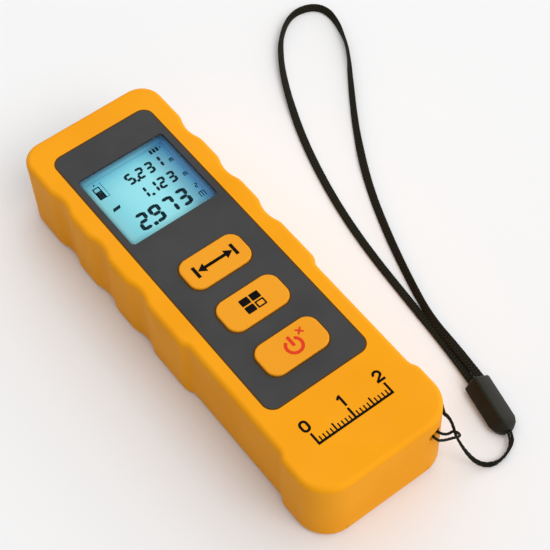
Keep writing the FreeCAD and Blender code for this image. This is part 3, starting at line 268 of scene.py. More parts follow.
def build_settled_dust():
    """Mask of thin dust: soft clouds that lie more on faces turned up."""
    tree, given, made = effect("settled_dust", [("Amount", "value", 0.1), ("Cloud", "value", 90.0)],
                               [("Mask", "value")])
    surface = add(tree, "ShaderNodeNewGeometry")
    split = add(tree, "ShaderNodeSeparateXYZ")
    tree.links.new(surface.outputs["Normal"], split.inputs[0])
    up = math_node(tree, "MAXIMUM", split.outputs["Z"], 0.15)
    noise = noise_field(tree, Detail=4.0, Roughness=0.6)
    tree.links.new(given.outputs["Cloud"], noise.inputs["Scale"])
    cloud = stretch(tree, noise.outputs["Fac"], 0.4, 3.0)
    mask = math_node(tree, "MULTIPLY", math_node(tree, "MULTIPLY", cloud, up), given.outputs["Amount"])
    tree.links.new(mask, made.inputs["Mask"])
    return tree


def build_two_tones():
    """Mixes two tones of one colour by a value, then lightens rubbed edges and painted highlights by a mask
    and greys what is dusty.
    """
    tree, given, made = effect("two_tones",
                               [("Tone", "colour", (1, 1, 1, 1)), ("Deep Tone", "colour", (0.8, 0.8, 0.8, 1)),
                                ("Worn Tone", "colour", (1, 1, 1, 1)),
                                ("Dust Tone", "colour", (0.5, 0.48, 0.44, 1)),
                                ("Drift", "value", 0.5), ("Wear", "value", 0.0), ("Dust", "value", 0.0)],
                               [("Color", "colour")])
    spread = stretch(tree, given.outputs["Drift"], 0.35, 3.0)
    tone = blend_colours(tree, spread, given.outputs["Tone"], given.outputs["Deep Tone"])
    worn_and_sheen = blend_colours(tree, given.outputs["Wear"], tone, given.outputs["Worn Tone"])
    dusty = blend_colours(tree, given.outputs["Dust"], worn_and_sheen, given.outputs["Dust Tone"])
    tree.links.new(dusty, made.inputs["Color"])
    return tree


GRAIN = build_moulding_grain()
EDGE_WEAR_AND_SHEEN = build_edge_wear_and_sheen()
DUST = build_settled_dust()
TONES = build_two_tones()


def use(tree, group, **values):
    """One use of a shared effect, with values for its named inputs."""
    node = tree.nodes.new("ShaderNodeGroup")
    node.node_tree = group
    for label, value in values.items():
        node.inputs[label.replace("_", " ")].default_value = value
    return node


# ---------------------------------------------------------------- finishes

def new_finish(name, **settings):
    """A material with its Principled shader; constants sit on the shader's own sockets."""
    finish = bpy.data.materials.new(name)
    finish.use_nodes = True
    shader = finish.node_tree.nodes["Principled BSDF"]
    for label, value in settings.items():
        shader.inputs[label.replace("_", " ")].default_value = value
    return finish, finish.node_tree, shader


def moulded(name, tone, deep, worn_and_sheen, pebbles=2200.0, depth=0.00002, wear_and_sheen=0.4, dust=0.06, **settings):
    """Injection-moulded plastic or rubber: grain, two tones, lighter edges and a little dust; the lighter
    edges are rubbed by hands, on the black rubber mostly a painted highlight.
    """
    finish, tree, shader = new_finish(name, **settings)
    grain = use(tree, GRAIN, Pebbles=pebbles)
    tones = use(tree, TONES, Tone=(*tone, 1), Deep_Tone=(*deep, 1), Worn_Tone=(*worn_and_sheen, 1))
    edges = use(tree, EDGE_WEAR_AND_SHEEN, Amount=wear_and_sheen)
    film = use(tree, DUST, Amount=dust)
    tree.links.new(grain.outputs["Drift"], tones.inputs["Drift"])
    tree.links.new(edges.outputs["Mask"], tones.inputs["Wear"])
    tree.links.new(film.outputs["Mask"], tones.inputs["Dust"])
    tree.links.new(tones.outputs["Color"], shader.inputs["Base Color"])
    raise_surface(tree, shader, grain.outputs["Height"], 0.5, depth)
    rough = math_node(tree, "ADD", math_node(tree, "MULTIPLY", grain.outputs["Drift"], 0.12),
                      shader.inputs["Roughness"].default_value - 0.06)
    tree.links.new(rough, shader.inputs["Roughness"])
    return finish


def metal(name, tone, deep, roughness):
    """Plated or turned metal with fine scratches drawn out along the part."""
    finish, tree, shader = new_finish(name, Metallic=1.0, Roughness=roughness)
    drawn = add(tree, "ShaderNodeMapping", Scale=(1.0, 0.08, 1.0))
    tree.links.new(object_point(tree), drawn.inputs["Vector"])
    lines = add(tree, "ShaderNodeTexNoise", Scale=900.0, Detail=3.0)
    tree.links.new(drawn.outputs["Vector"], lines.inputs["Vector"])
    tones = use(tree, TONES, Tone=(*tone, 1), Deep_Tone=(*deep, 1))
    tree.links.new(lines.outputs["Fac"], tones.inputs["Drift"])
    tree.links.new(tones.outputs["Color"], shader.inputs["Base Color"])
    raise_surface(tree, shader, lines.outputs["Fac"], 0.3, 0.00001)
    return finish


orange_casing = moulded("orange_casing", (0.96, 0.378, 0.004), (0.93, 0.355, 0.003), (0.98, 0.44, 0.03),
                        depth=0.00003, wear_and_sheen=0.2, dust=0.015, Roughness=0.55, Specular_IOR_Level=0.1)
orange_key = moulded("orange_key", (0.90, 0.355, 0.012), (0.87, 0.335, 0.010), (0.94, 0.42, 0.04),
                     pebbles=3000.0, depth=0.000015, wear_and_sheen=0.25, dust=0.0, Roughness=0.5,
                     Specular_IOR_Level=0.15)
grey_panel = moulded("grey_panel", (0.056, 0.056, 0.058), (0.050, 0.050, 0.052), (0.10, 0.10, 0.10),
                     pebbles=3500.0, depth=0.00001, wear_and_sheen=0.2, dust=0.02, Roughness=0.55,
                     Specular_IOR_Level=0.1)
# dark brown for the rings round the panel and keys: partly the dark joint, mostly painted shade in the gaps
# beside the raised parts
seam_shadow = moulded("seam_shadow", (0.105, 0.052, 0.012), (0.085, 0.042, 0.010), (0.12, 0.06, 0.012),
                      wear_and_sheen=0.0, dust=0.0, Roughness=0.8, Specular_IOR_Level=0.05)
black_print = moulded("black_print", (0.003, 0.002, 0.002), (0.005, 0.004, 0.003), (0.03, 0.02, 0.01),
                      pebbles=4000.0, depth=0.000005, wear_and_sheen=0.0, dust=0.01, Roughness=0.6,
                      Specular_IOR_Level=0.05)
red_print = moulded("red_print", (0.80, 0.045, 0.006), (0.74, 0.040, 0.006), (0.85, 0.10, 0.02),
                    pebbles=4000.0, depth=0.000005, wear_and_sheen=0.0, dust=0.0, Roughness=0.45,
                    Specular_IOR_Level=0.2)
# black rubber: its edge tone, far lighter than the rubber, paints a highlight along the slider's ridge and
# edges, only partly from rubbing
black_rubber_painted_sheen = moulded("black_rubber_painted_sheen", (0.013, 0.012, 0.007), (0.017, 0.016, 0.010), (0.085, 0.085, 0.068),
                       pebbles=1500.0, wear_and_sheen=0.6, dust=0.02, Roughness=0.40, Specular_IOR_Level=0.13)
black_foam = moulded("black_foam", (0.03, 0.03, 0.03), (0.015, 0.015, 0.015), (0.06, 0.06, 0.06),
                     pebbles=900.0, depth=0.0002, wear_and_sheen=0.0, dust=0.0, Roughness=0.95)
inner_white = moulded("inner_white", (0.78, 0.78, 0.76), (0.70, 0.70, 0.68), (0.85, 0.85, 0.84),
                      wear_and_sheen=0.1, dust=0.0, Roughness=0.5)
solder_mask = moulded("solder_mask", (0.015, 0.16, 0.055), (0.010, 0.11, 0.040), (0.05, 0.25, 0.1),
                      pebbles=700.0, wear_and_sheen=0.2, dust=0.0, Roughness=0.35)
chip_black = moulded("chip_black", (0.03, 0.03, 0.032), (0.02, 0.02, 0.022), (0.08, 0.08, 0.08),
                     wear_and_sheen=0.2, dust=0.0, Roughness=0.45)
chassis_black = moulded("chassis_black", (0.02, 0.02, 0.02), (0.012, 0.012, 0.012), (0.05, 0.05, 0.05),
                        pebbles=1200.0, wear_and_sheen=0.1, dust=0.0, Roughness=0.8)
contact_rubber = moulded("contact_rubber", (0.50, 0.24, 0.22), (0.40, 0.2, 0.18), (0.6, 0.3, 0.3),
                         wear_and_sheen=0.0, dust=0.0, Roughness=0.7)
amber_flex = moulded("amber_flex", (0.50, 0.24, 0.03), (0.42, 0.20, 0.03), (0.6, 0.35, 0.1),
                     wear_and_sheen=0.1, dust=0.0, Roughness=0.3)
black_gloss = moulded("black_gloss", (0.012, 0.012, 0.013), (0.009, 0.009, 0.010), (0.05, 0.05, 0.05),
                      pebbles=3000.0, depth=0.000004, wear_and_sheen=0.3, dust=0.05, Roughness=0.18)
cell_sleeve = moulded("cell_sleeve", (0.10, 0.11, 0.13), (0.08, 0.09, 0.11), (0.3, 0.3, 0.32),
                      pebbles=3000.0, depth=0.000005, wear_and_sheen=0.3, dust=0.0, Metallic=0.6, Roughness=0.35)
switch_steel = metal("switch_steel", (0.62, 0.62, 0.61), (0.50, 0.50, 0.50), 0.32)
sensor_steel = metal("sensor_steel", (0.65, 0.63, 0.58), (0.55, 0.53, 0.48), 0.28)
turned_brass = metal("turned_brass", (0.74, 0.53, 0.22), (0.62, 0.43, 0.16), 0.28)
contact_plate = metal("contact_plate", (0.74, 0.74, 0.72), (0.62, 0.62, 0.60), 0.25)
zinc_screw = metal("zinc_screw", (0.56, 0.56, 0.55), (0.44, 0.44, 0.43), 0.35)


def clear_finish(name, tone, alpha, rim):
    """Clear or tinted moulded window: nearly see-through face on, more mirror-like at a glancing angle."""
    polish = 0.04
    finish, tree, shader = new_finish(name, Roughness=polish, IOR=1.49)
    shader.inputs["Base Color"].default_value = (*tone, 1)
    haze = noise_field(tree, Scale=180.0, Detail=2.0)
    gloss = math_node(tree, "MULTIPLY", haze.outputs["Fac"], polish * 2)
    tree.links.new(gloss, shader.inputs["Roughness"])
    facing = add(tree, "ShaderNodeFresnel", IOR=1.35)
    share = math_node(tree, "ADD", math_node(tree, "MULTIPLY", facing.outputs[0], rim), alpha, clamp=True)
    outside = math_node(tree, "SUBTRACT", 1.0, add(tree, "ShaderNodeNewGeometry").outputs["Backfacing"])
    tree.links.new(math_node(tree, "MULTIPLY", share, outside), shader.inputs["Alpha"])
    return finish


display_cover = clear_finish("display_cover", (0.02, 0.03, 0.035), 0.03, 0.9)
optic_tint = clear_finish("optic_tint", (0.03, 0.004, 0.006), 0.62, 1.2)
lens_clear = clear_finish("lens_clear", (0.30, 0.36, 0.38), 0.30, 1.5)


# the backlight's colour, and what is left of it at each place across and along the window, in millimetres;
# the fall towards the edges, deepest to the right and the laser end, is partly backlight falloff and partly
# painted shade of the recess walls
GLOW = (0.319, 0.76, 0.815)
GLOW_AND_SHADE_ACROSS = (
    (-12.0, (0.45, 0.45, 0.45)), (-11.3, (0.75, 0.75, 0.75)), (-9.0, (0.72, 0.84, 0.88)),
    (-6.0, (0.90, 0.95, 0.96)), (-2.0, (1.0, 1.0, 1.0)), (2.0, (1.0, 1.0, 1.0)), (5.0, (0.75, 0.80, 0.85)),
    (7.5, (0.48, 0.50, 0.60)), (8.5, (0.34, 0.44, 0.58)), (9.5, (0.24, 0.33, 0.51)),
    (10.5, (0.18, 0.21, 0.39)), (11.6, (0.08, 0.08, 0.15)),
)
GLOW_AND_SHADE_ALONG = (
    (19.5, (0.70, 0.70, 0.70)), (21.0, (0.94, 0.94, 0.94)), (25.0, (1.0, 1.0, 1.0)), (33.0, (1.0, 1.0, 1.0)),
    (35.0, (0.97, 0.97, 0.97)), (38.0, (0.75, 0.85, 0.90)), (40.0, (0.51, 0.68, 0.79)),
    (42.0, (0.19, 0.20, 0.27)),
)


def build_screen_glow_and_shade():
    """Backlight colour over the window, brightest in the middle; its fall to deep blue at the right and the
    laser end, and its darker edges, are partly backlight falloff and partly painted shade of the recess.
    """
    tree, given, made = effect("screen_glow_and_painted_shade", [("Shift Across", "value", 0.0), ("Shift Along", "value", 0.0)],
                               [("Color", "colour")])
    split = add(tree, "ShaderNodeSeparateXYZ")
    tree.links.new(object_point(tree), split.inputs[0])
    shades = []
    for axis, label, stops in (("X", "Shift Across", GLOW_AND_SHADE_ACROSS), ("Y", "Shift Along", GLOW_AND_SHADE_ALONG)):
        first, last = stops[0][0], stops[-1][0]
        place = math_node(tree, "DIVIDE", split.outputs[axis], MM)
        place = math_node(tree, "SUBTRACT", place, given.outputs[label])
        share = math_node(tree, "DIVIDE", math_node(tree, "SUBTRACT", place, first), last - first, clamp=True)
        ramp = add(tree, "ShaderNodeValToRGB")
        ends = ramp.color_ramp.elements
        ends[0].color, ends[1].color = (*stops[0][1], 1), (*stops[-1][1], 1)
        for position, shade in stops[1:-1]:
            element = ends.new((position - first) / (last - first))
            element.color = (*shade, 1)
        tree.links.new(share, ramp.inputs["Fac"])
        shades.append(ramp.outputs["Color"])
    product = add(tree, "ShaderNodeVectorMath", operation="MULTIPLY")
    tree.links.new(shades[0], product.inputs[0])
    tree.links.new(shades[1], product.inputs[1])
    scaled = add(tree, "ShaderNodeVectorMath", operation="MULTIPLY")
    scaled.inputs[1].default_value = GLOW
    tree.links.new(product.outputs[0], scaled.inputs[0])
    tree.links.new(scaled.outputs[0], made.inputs["Color"])
    return tree


SCREEN_GLOW_AND_SHADE = build_screen_glow_and_shade()


def glow_with_painted_shade(name, across, along):
    """Glowing surface under the window with painted shade at its edges; on the screen the glow is its
    backlight, on the ledge and lining it is painted light. The shift keeps its glow in line with the window's
    plane.
    """
    finish, tree, shader = new_finish(name, Roughness=0.4, Specular_IOR_Level=0.05, Emission_Strength=1.0)
    shader.inputs["Base Color"].default_value = (0.02, 0.06, 0.08, 1)
    glow = use(tree, SCREEN_GLOW_AND_SHADE, Shift_Across=across, Shift_Along=along)
    tree.links.new(glow.outputs["Color"], shader.inputs["Emission Color"])
    return finish


backlit_display_painted_shade = glow_with_painted_shade("backlit_display_painted_shade", 0.93, 1.36)
# the ledge and the lining glow with painted light and painted shade, carried on from the screen
ledge_painted_glow = glow_with_painted_shade("ledge_painted_glow", 0.31, 0.45)
wall_painted_glow = glow_with_painted_shade("wall_painted_glow", 0.62, 0.90)
segment_ink = moulded("segment_ink", (0.001, 0.016, 0.026), (0.002, 0.022, 0.034), (0.01, 0.02, 0.02),
                      wear_and_sheen=0.0, dust=0.0, Roughness=0.5, Specular_IOR_Level=0.1)


def braided(name, tone, deep, pitch, slant):
    """Braided cord: dark yarn whose crossings catch light, from the piece's own length and width values."""
    finish, tree, shader = new_finish(name, Roughness=0.65, Specular_IOR_Level=0.1)
    run = add(tree, "ShaderNodeAttribute", attribute_name="along_mm").outputs["Fac"]
    side = add(tree, "ShaderNodeAttribute", attribute_name="across_mm").outputs["Fac"]
    lean = math_node(tree, "MULTIPLY", math_node(tree, "ABSOLUTE", side), slant)
    phase = math_node(tree, "MULTIPLY", math_node(tree, "ADD", run, lean), 2 * math.pi / pitch)
    wave = math_node(tree, "SINE", phase)
    crest = math_node(tree, "ADD", math_node(tree, "MULTIPLY", wave, 0.5), 0.5)
    fuzz = noise_field(tree, Scale=5000.0, Detail=2.0)
    height = math_node(tree, "ADD", crest, math_node(tree, "MULTIPLY", fuzz.outputs["Fac"], 0.35))
    tones = use(tree, TONES, Tone=(*deep, 1), Deep_Tone=(*tone, 1))
    tree.links.new(crest, tones.inputs["Drift"])
    tree.links.new(tones.outputs["Color"], shader.inputs["Base Color"])
    raise_surface(tree, shader, height, 0.8, 0.00008)
    return finish


STRAP_RIB_PITCH, TETHER_RIB_PITCH = 0.9, 0.7
strap_braid = braided("strap_braid", (0.018, 0.016, 0.008), (0.006, 0.005, 0.002), STRAP_RIB_PITCH, 0.8)
tether_braid = braided("tether_braid", (0.016, 0.014, 0.007), (0.006, 0.005, 0.002), TETHER_RIB_PITCH, 0.9)


# ---------------------------------------------------------------- wrist strap and tether

# control points, from the joiner round the loop and back, and from the joiner through the slot and back
STRAP_LINE = (
    (34.0, -49.2, 0.95), (35.7, -39.8, 0.6), (37.4, -21.5, 0.42), (39.2, -3.1, 0.4), (42.4, 14.6, 0.4),
    (48.0, 33.9, 0.45), (55.1, 50.3, 0.75), (60.8, 60.1, 1.0), (66.2, 66.3, 1.1), (72.3, 69.8, 1.1),
    (78.1, 68.6, 1.1), (80.6, 64.8, 1.05), (79.7, 58.6, 1.05), (76.4, 50.4, 1.1), (69.7, 41.1, 1.05),
    (60.0, 26.7, 0.85), (51.7, 11.5, 0.6), (45.3, -4.5, 0.85), (40.3, -20.0, 1.0), (37.9, -29.5, 1.1),
    (37.2, -38.5, 1.4), (36.5, -45.0, 1.6), (36.0, -49.6, 1.7),
)
TETHER_LINE = (
    (31.49, -62.94, 1.9), (31.05, -64.5, 1.5), (29.5, -65.95, 1.0), (27.2, -66.95, 0.97),
    (24.8, -66.8, 0.95), (22.4, -65.6, 1.15), (20.9, -63.9, 2.3), (20.0, -62.3, 4.3), (19.2, -60.9, 6.8),
    (18.8, -59.35, 9.05), (18.85, -58.4, 10.8), (18.9, -57.5, 12.4), (18.6, -56.7, 14.0),
    (17.9, -55.61, 14.93), (18.47, -54.68, 15.48), (18.67, -53.52, 15.64), (17.63, -52.85, 15.67),
    (14.6, -53.0, 15.6), (13.4, -54.1, 15.6), (13.5, -57.0, 15.8), (13.8, -58.9, 15.9),
    (14.8, -59.2, 14.5), (16.4, -59.0, 12.4), (17.85, -58.4, 10.45), (18.98, -58.0, 9.37),
    (19.69, -58.63, 8.95), (19.73, -59.63, 9.25), (18.77, -60.27, 10.42), (17.2, -60.2, 11.6),
    (15.5, -60.2, 12.8), (13.6, -60.3, 14.6), (12.2, -60.0, 15.9), (12.1, -57.7, 16.4),
    (12.1, -54.2, 16.6), (12.3, -52.5, 16.6), (13.9, -51.7, 16.6), (16.3, -51.75, 16.6),
    (18.3, -51.9, 16.6), (18.95, -53.3, 16.4), (18.45, -54.65, 16.3), (17.75, -55.9, 16.0),
    (18.4, -56.8, 14.9), (18.65, -57.8, 13.2), (18.65, -58.65, 11.6), (18.55, -59.5, 10.0),
    (18.85, -61.0, 7.6), (19.5, -62.8, 4.7), (20.5, -64.55, 2.3), (22.3, -66.2, 0.9), (24.6, -67.0, 0.4),
    (27.4, -66.6, 0.4), (30.0, -65.9, 0.6), (31.75, -64.8, 1.3), (32.13, -63.08, 1.9),
)


def spline_points(line, resolution):
    """Points read from a NURBS spline whose control points are the line, in metres."""
    curve = bpy.data.curves.new("cord_line", "CURVE")
    curve.dimensions = "3D"
    spline = curve.splines.new("NURBS")
    spline.points.add(len(line) - 1)
    for point, place in zip(spline.points, line):
        point.co = (*(Vector(place) * MM), 1.0)
    spline.order_u = 3
    spline.use_endpoint_u = True
    curve.resolution_u = resolution
    guide = bpy.data.objects.new("cord_line", curve)
    scene.collection.objects.link(guide)
    mesh = bpy.data.meshes.new_from_object(guide)
    points = [v.co.copy() for v in mesh.vertices]
    bpy.data.objects.remove(guide)
    bpy.data.meshes.remove(mesh)
    return points


def even_steps(points, step):
    """The same line with points at even distances."""
    runs = [(b - a).length for a, b in zip(points, points[1:])]
    total = sum(runs)
    count = max(2, round(total / step))
    result, index, passed = [points[0]], 0, 0.0
    for k in range(1, count):
        target = total * k / count
        while passed + runs[index] < target:
            passed += runs[index]
            index += 1
        result.append(points[index].lerp(points[index + 1], (target - passed) / runs[index]))
    result.append(points[-1])
    return result, total


def cord_mesh(name, points, section, finish):
    """A closed tube whose section(distance in mm) gives (sideways, upwards, across) offsets in mm."""
    places, along, across = [], [], []
    passed, up = 0.0, Vector((0, 0, 1))
    for i, point in enumerate(points):
        ahead = (points[min(i + 1, len(points) - 1)] - points[max(i - 1, 0)]).normalized()
        up = (up - ahead * up.dot(ahead)).normalized()
        side = ahead.cross(up)
        if i:
            passed += (point - points[i - 1]).length / MM
        ring = section(passed)
        for u, v, w in ring:
            places.append(point / MM + side * u + up * v)
            along.append(passed)
            across.append(w)
    piece = solid(name, places, lofted_faces(len(points), len(ring)), finish)
    for label, values in (("along_mm", along), ("across_mm", across)):
        layer = piece.data.attributes.new(label, "FLOAT", "POINT")
        layer.data.foreach_set("value", values)
    return piece


STRAP_WIDTH, STRAP_THICK = 2.05, 0.55
STRAP_RIB_DEPTH, STRAP_RIB_SLANT = 0.06, 0.9
TETHER_WIDTH = 0.65
TETHER_LAY, TETHER_STRAND_DEPTH = 4.2, 0.10
STRAP_TURNS = (
    # distance along the strap, turn about its own line: it stands on edge round the far end of the loop
    (0, 0), (88, 0), (102, -26), (114, -45), (121, -68), (127, -72), (134, -50), (138, -45), (144, -66),
    (150, -85), (156, -77), (162, -57), (170, -45), (182, -37), (192, -12), (204, -26), (216, -30),
    (230, -40), (238, -46), (246, -30), (254, -12), (264, -4),
)


def strap_twist(distance):
    """Turn of the flat strap about its own line, in degrees, easing from each station to the next."""
    for (start, first), (end, last) in zip(STRAP_TURNS, STRAP_TURNS[1:]):
        if distance <= end:
            share = (distance - start) / (end - start)
            return first + (last - first) * share * share * (3.0 - 2.0 * share)
    return STRAP_TURNS[-1][1]


def strap_section(distance):
    """Flat braid with round edges; slanted ribs meet along its middle."""
    turn = math.radians(strap_twist(distance))
    sides = 24
    ring = []
    for k in range(sides):
        angle = 2 * math.pi * k / sides
        flat = abs(math.cos(angle)) ** 0.55 * math.copysign(1, math.cos(angle))
        deep = abs(math.sin(angle)) ** 0.75 * math.copysign(1, math.sin(angle))
        u, v = flat * STRAP_WIDTH / 2, deep * STRAP_THICK / 2
        place = distance / STRAP_RIB_PITCH + abs(u) * STRAP_RIB_SLANT
        rib = STRAP_RIB_DEPTH * math.sin(2 * math.pi * place)
        u, v = u * (1.0 + rib * 0.4), v * (1.0 + rib)
        ring.append((u * math.cos(turn) - v * math.sin(turn), u * math.sin(turn) + v * math.cos(turn), u))
    return ring


def tether_section(distance):
    """Round cord laid from three strands."""
    sides, strands = 15, 3
    ring = []
    for k in range(sides):
        angle = 2 * math.pi * k / sides
        strand = TETHER_STRAND_DEPTH * math.cos(strands * (angle - 2 * math.pi * distance / TETHER_LAY))
        radius = TETHER_WIDTH / 2 * (1.0 + strand) * 0.95
        ring.append((radius * math.cos(angle), radius * math.sin(angle), angle * 0.35))
    return ring


JOINER_TOP, JOINER_TURN = Vector((34.72, -49.05, 0.0)), math.radians(-11.8)
JOINER_STATIONS = (
    # distance from the top end, half foot, half waist, waist level, left and right of the ridge, its level,
    # base, and how far the right side stands nearer the top end than the left
    (0.0, 2.20, 3.20, 1.60, -1.05, -0.55, 4.35, 0.15, 0.80),
    (0.35, 2.40, 3.42, 1.60, -1.10, -0.55, 4.60, 0.0, 0.80),
    (11.3, 2.40, 3.42, 1.60, -1.05, -0.50, 4.60, 0.0, 0.0),
    (12.7, 2.20, 2.90, 1.60, -0.80, -0.30, 4.45, 0.0, 0.0),
    (13.6, 1.70, 2.00, 1.60, -0.50, 0.0, 3.50, 0.25, 0.0),
    (14.2, 1.00, 1.15, 1.65, -0.30, 0.20, 2.65, 0.75, 0.0),
)
JOINER_EDGE = 0.28


def joiner_mesh(name, finish):
    """Moulded slider: a ridged block with soft edges that narrows to a nose where the tether leaves it."""
    points = []
    turn = Matrix.Rotation(JOINER_TURN, 4, "Z")
    for run, foot, waist, waist_z, left, right, ridge_z, base, lead in JOINER_STATIONS:
        section = ((-foot, base), (-waist, waist_z), (left, ridge_z),
                   (right, ridge_z), (waist, waist_z), (foot, base))
        points += [JOINER_TOP + turn @ Vector((x, lead * (x / waist + 1) / 2 - run, z)) for x, z in section]
    faces = lofted_faces(len(JOINER_STATIONS), len(section))
    piece = solid(name, points, faces, finish, smooth=False)
    soften = piece.modifiers.new("soft_edges", "BEVEL")
    soften.width = JOINER_EDGE * MM
    soften.segments = 3
    soften.limit_method = "ANGLE"
    soften.angle_limit = math.radians(12)
    soften.harden_normals = False
    piece.data.shade_smooth()
    return piece


strap_path, strap_length = even_steps(spline_points(STRAP_LINE, 24), 0.3 * MM)
tether_path, tether_length = even_steps(spline_points(TETHER_LINE, 24), 0.2 * MM)
wrist_strap = cord_mesh("wrist_strap", strap_path, strap_section, strap_braid)
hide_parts("strap_loop")
eye_tether = cord_mesh("eye_tether", tether_path, tether_section, tether_braid)
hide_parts("strap_tether")
strap_slider = joiner_mesh("strap_slider", black_rubber_painted_sheen)
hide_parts("strap_joiner")


# ---------------------------------------------------------------- finishes on the carried-over nodes

NODE_FINISHES = {
    orange_casing: ("front_housing", "rear_housing", "battery_cover"),
    orange_key: ("measure_button", "mode_button", "power_button"),
    grey_panel: ("face_panel",),
    ledge_painted_glow: ("panel_adhesive",),
    # the adhesive ring under the window takes the ledge's painted glow
    display_cover: ("display_window",),
    backlit_display_painted_shade: ("display_glass",),
    black_foam: ("cover_foam_pad", "display_gasket"),
    inner_white: ("display_frame", "backlight_plate", "measure_plunger", "mode_plunger", "power_plunger"),
    contact_rubber: ("contact_strip",),
    switch_steel: ("key_switches",),
    solder_mask: ("main_board", "receiver_board"),
    chip_black: ("microcontroller", "board_components", "buzzer"),
    chassis_black: ("optical_chassis", "lens_ring"),
    lens_clear: ("receiver_lens", "laser_lens"),
    sensor_steel: ("receiver_sensor",),
    turned_brass: ("laser_barrel", "laser_diode"),
    amber_flex: ("laser_flex",),
    black_gloss: ("front_plate",),
    optic_tint: ("laser_window", "receiver_window"),
    cell_sleeve: ("battery_left", "battery_right"),
    contact_plate: ("battery_springs", "battery_plates"),
    zinc_screw: ("housing_screws", "board_screws", "chassis_screws"),
    black_rubber_painted_sheen: ("strap_joiner",),
    strap_braid: ("strap_loop",),
    tether_braid: ("strap_tether",),
}

for finish, names in NODE_FINISHES.items():
    for node_name in names:
        materials = nodes[node_name].data.materials
        for slot_index in range(len(materials)):
            materials[slot_index] = finish
        if not materials:
            materials.append(finish)


# ---------------------------------------------------------------- display picture

window_low, window_high = (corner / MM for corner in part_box("display_window"))
screen_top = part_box("display_glass")[1].z / MM
ink_low, ink_high = screen_top + 0.005, screen_top + 0.03
INK_LEAN = 0.05
SEGMENTS = {"1": "bc", "2": "abged", "3": "abgcd", "5": "afgcd", "7": "abc", "9": "abcdfg"}


def ink(name, outlines):
    """Dark marks that lie on the lit screen."""
    return joined_prisms(name, outlines, ink_low, ink_high, segment_ink)


def segment_digit(character, x, y, width, height, stroke):
    """Outlines of one seven-segment figure about its centre, leaning a little."""
    half, rise, gap = width / 2, height / 2, stroke * 0.16
    bevel = stroke / 2
    tip, shoulder = half - gap - bevel * 0.6, half - gap - bevel * 1.6

    def level(cy):
        return [(-tip, cy), (-shoulder, cy + bevel), (shoulder, cy + bevel),
                (tip, cy), (shoulder, cy - bevel), (-shoulder, cy - bevel)]

    def upright(cx, low, high):
        return [(cx, low + gap), (cx + bevel, low + gap + bevel), (cx + bevel, high - gap - bevel),
                (cx, high - gap), (cx - bevel, high - gap - bevel), (cx - bevel, low + gap + bevel)]

    shapes = {"a": level(rise - bevel), "g": level(0.0), "d": level(-rise + bevel),
              "b": upright(half - bevel, 0.0, rise), "c": upright(half - bevel, -rise, 0.0),
              "f": upright(-half + bevel, 0.0, rise), "e": upright(-half + bevel, -rise, 0.0)}
    outlines = []
    for key in SEGMENTS[character]:
        outline = [(x + px + INK_LEAN * py, y + py) for px, py in shapes[key]]
        area = sum(a[0] * b[1] - b[0] * a[1] for a, b in zip(outline, outline[1:] + outline[:1]))
        outlines.append(outline if area > 0 else outline[::-1])
    return outlines


def readout(name, characters, places, y, width, height, stroke, point):
    """One line of figures with its decimal point."""
    outlines = []
    for character, x in zip(characters, places):
        outlines += segment_digit(character, x, y, width, height, stroke)
    outlines.append(rounded(*point, stroke * 0.55, stroke * 0.55, stroke * 0.2, 2))
    return ink(name, outlines)


readout("upper_reading", "5231", (-0.95, 1.95, 4.65, 7.1), 37.2, 2.2, 3.55, 0.68, (0.5, 35.6))
readout("middle_reading", "1123", (-0.8, 2.0, 4.5, 7.25), 31.6, 2.2, 3.55, 0.68, (1.0, 30.0))
readout("main_reading", "2973", (-5.4, -1.65, 2.15, 6.0), 24.9, 3.1, 5.3, 0.96, (-3.4, 22.6))

UNIT_STROKE = 0.24
unit_marks = []
for mark_x, mark_y, size in ((10.15, 35.9, 0.50), (10.35, 30.3, 0.50), (10.15, 22.9, 0.80)):
    low, high, crossbar = mark_y - size, mark_y + size, mark_y + size + 0.02
    spread = size * 0.8
    for leg_x in (mark_x - spread, mark_x, mark_x + spread):
        unit_marks.append(bar((leg_x, low), (leg_x, high), UNIT_STROKE))
    unit_marks.append(bar((mark_x - spread, crossbar), (mark_x + spread, crossbar), UNIT_STROKE))
unit_marks += segment_digit("2", 10.35, 25.9, 0.85, 1.35, UNIT_STROKE)
ink("unit_marks", unit_marks)

charge_bars = [bar((bar_x, 40.2), (bar_x, 41.5), 0.62) for bar_x in (7.5, 8.4, 9.3)]
charge_bars.append(bar((10.15, 40.55), (10.15, 41.15), 0.26))
ink("charge_bars", charge_bars)

# a small meter in outline, a thin line at its side and foot, and an arrowhead over it
ink("tool_mark", [
    bar((-9.85, 36.3), (-9.85, 40.0), 0.30), bar((-8.25, 36.3), (-8.25, 40.0), 0.30),
    bar((-10.0, 40.0), (-8.1, 40.0), 0.30), bar((-9.85, 38.6), (-8.25, 38.6), 0.45),
    rounded(-9.05, 37.3, 0.92, 1.05, 0.15, 2), bar((-7.35, 36.35), (-7.35, 41.0), 0.12),
    bar((-8.3, 36.25), (-7.29, 36.25), 0.12), [(-8.9, 41.35), (-9.2, 40.8), (-8.6, 40.8)],
])
ink("area_mark", [[(-9.5, 31.4), (-7.5, 31.55), (-7.1, 32.5), (-9.15, 32.35)]])

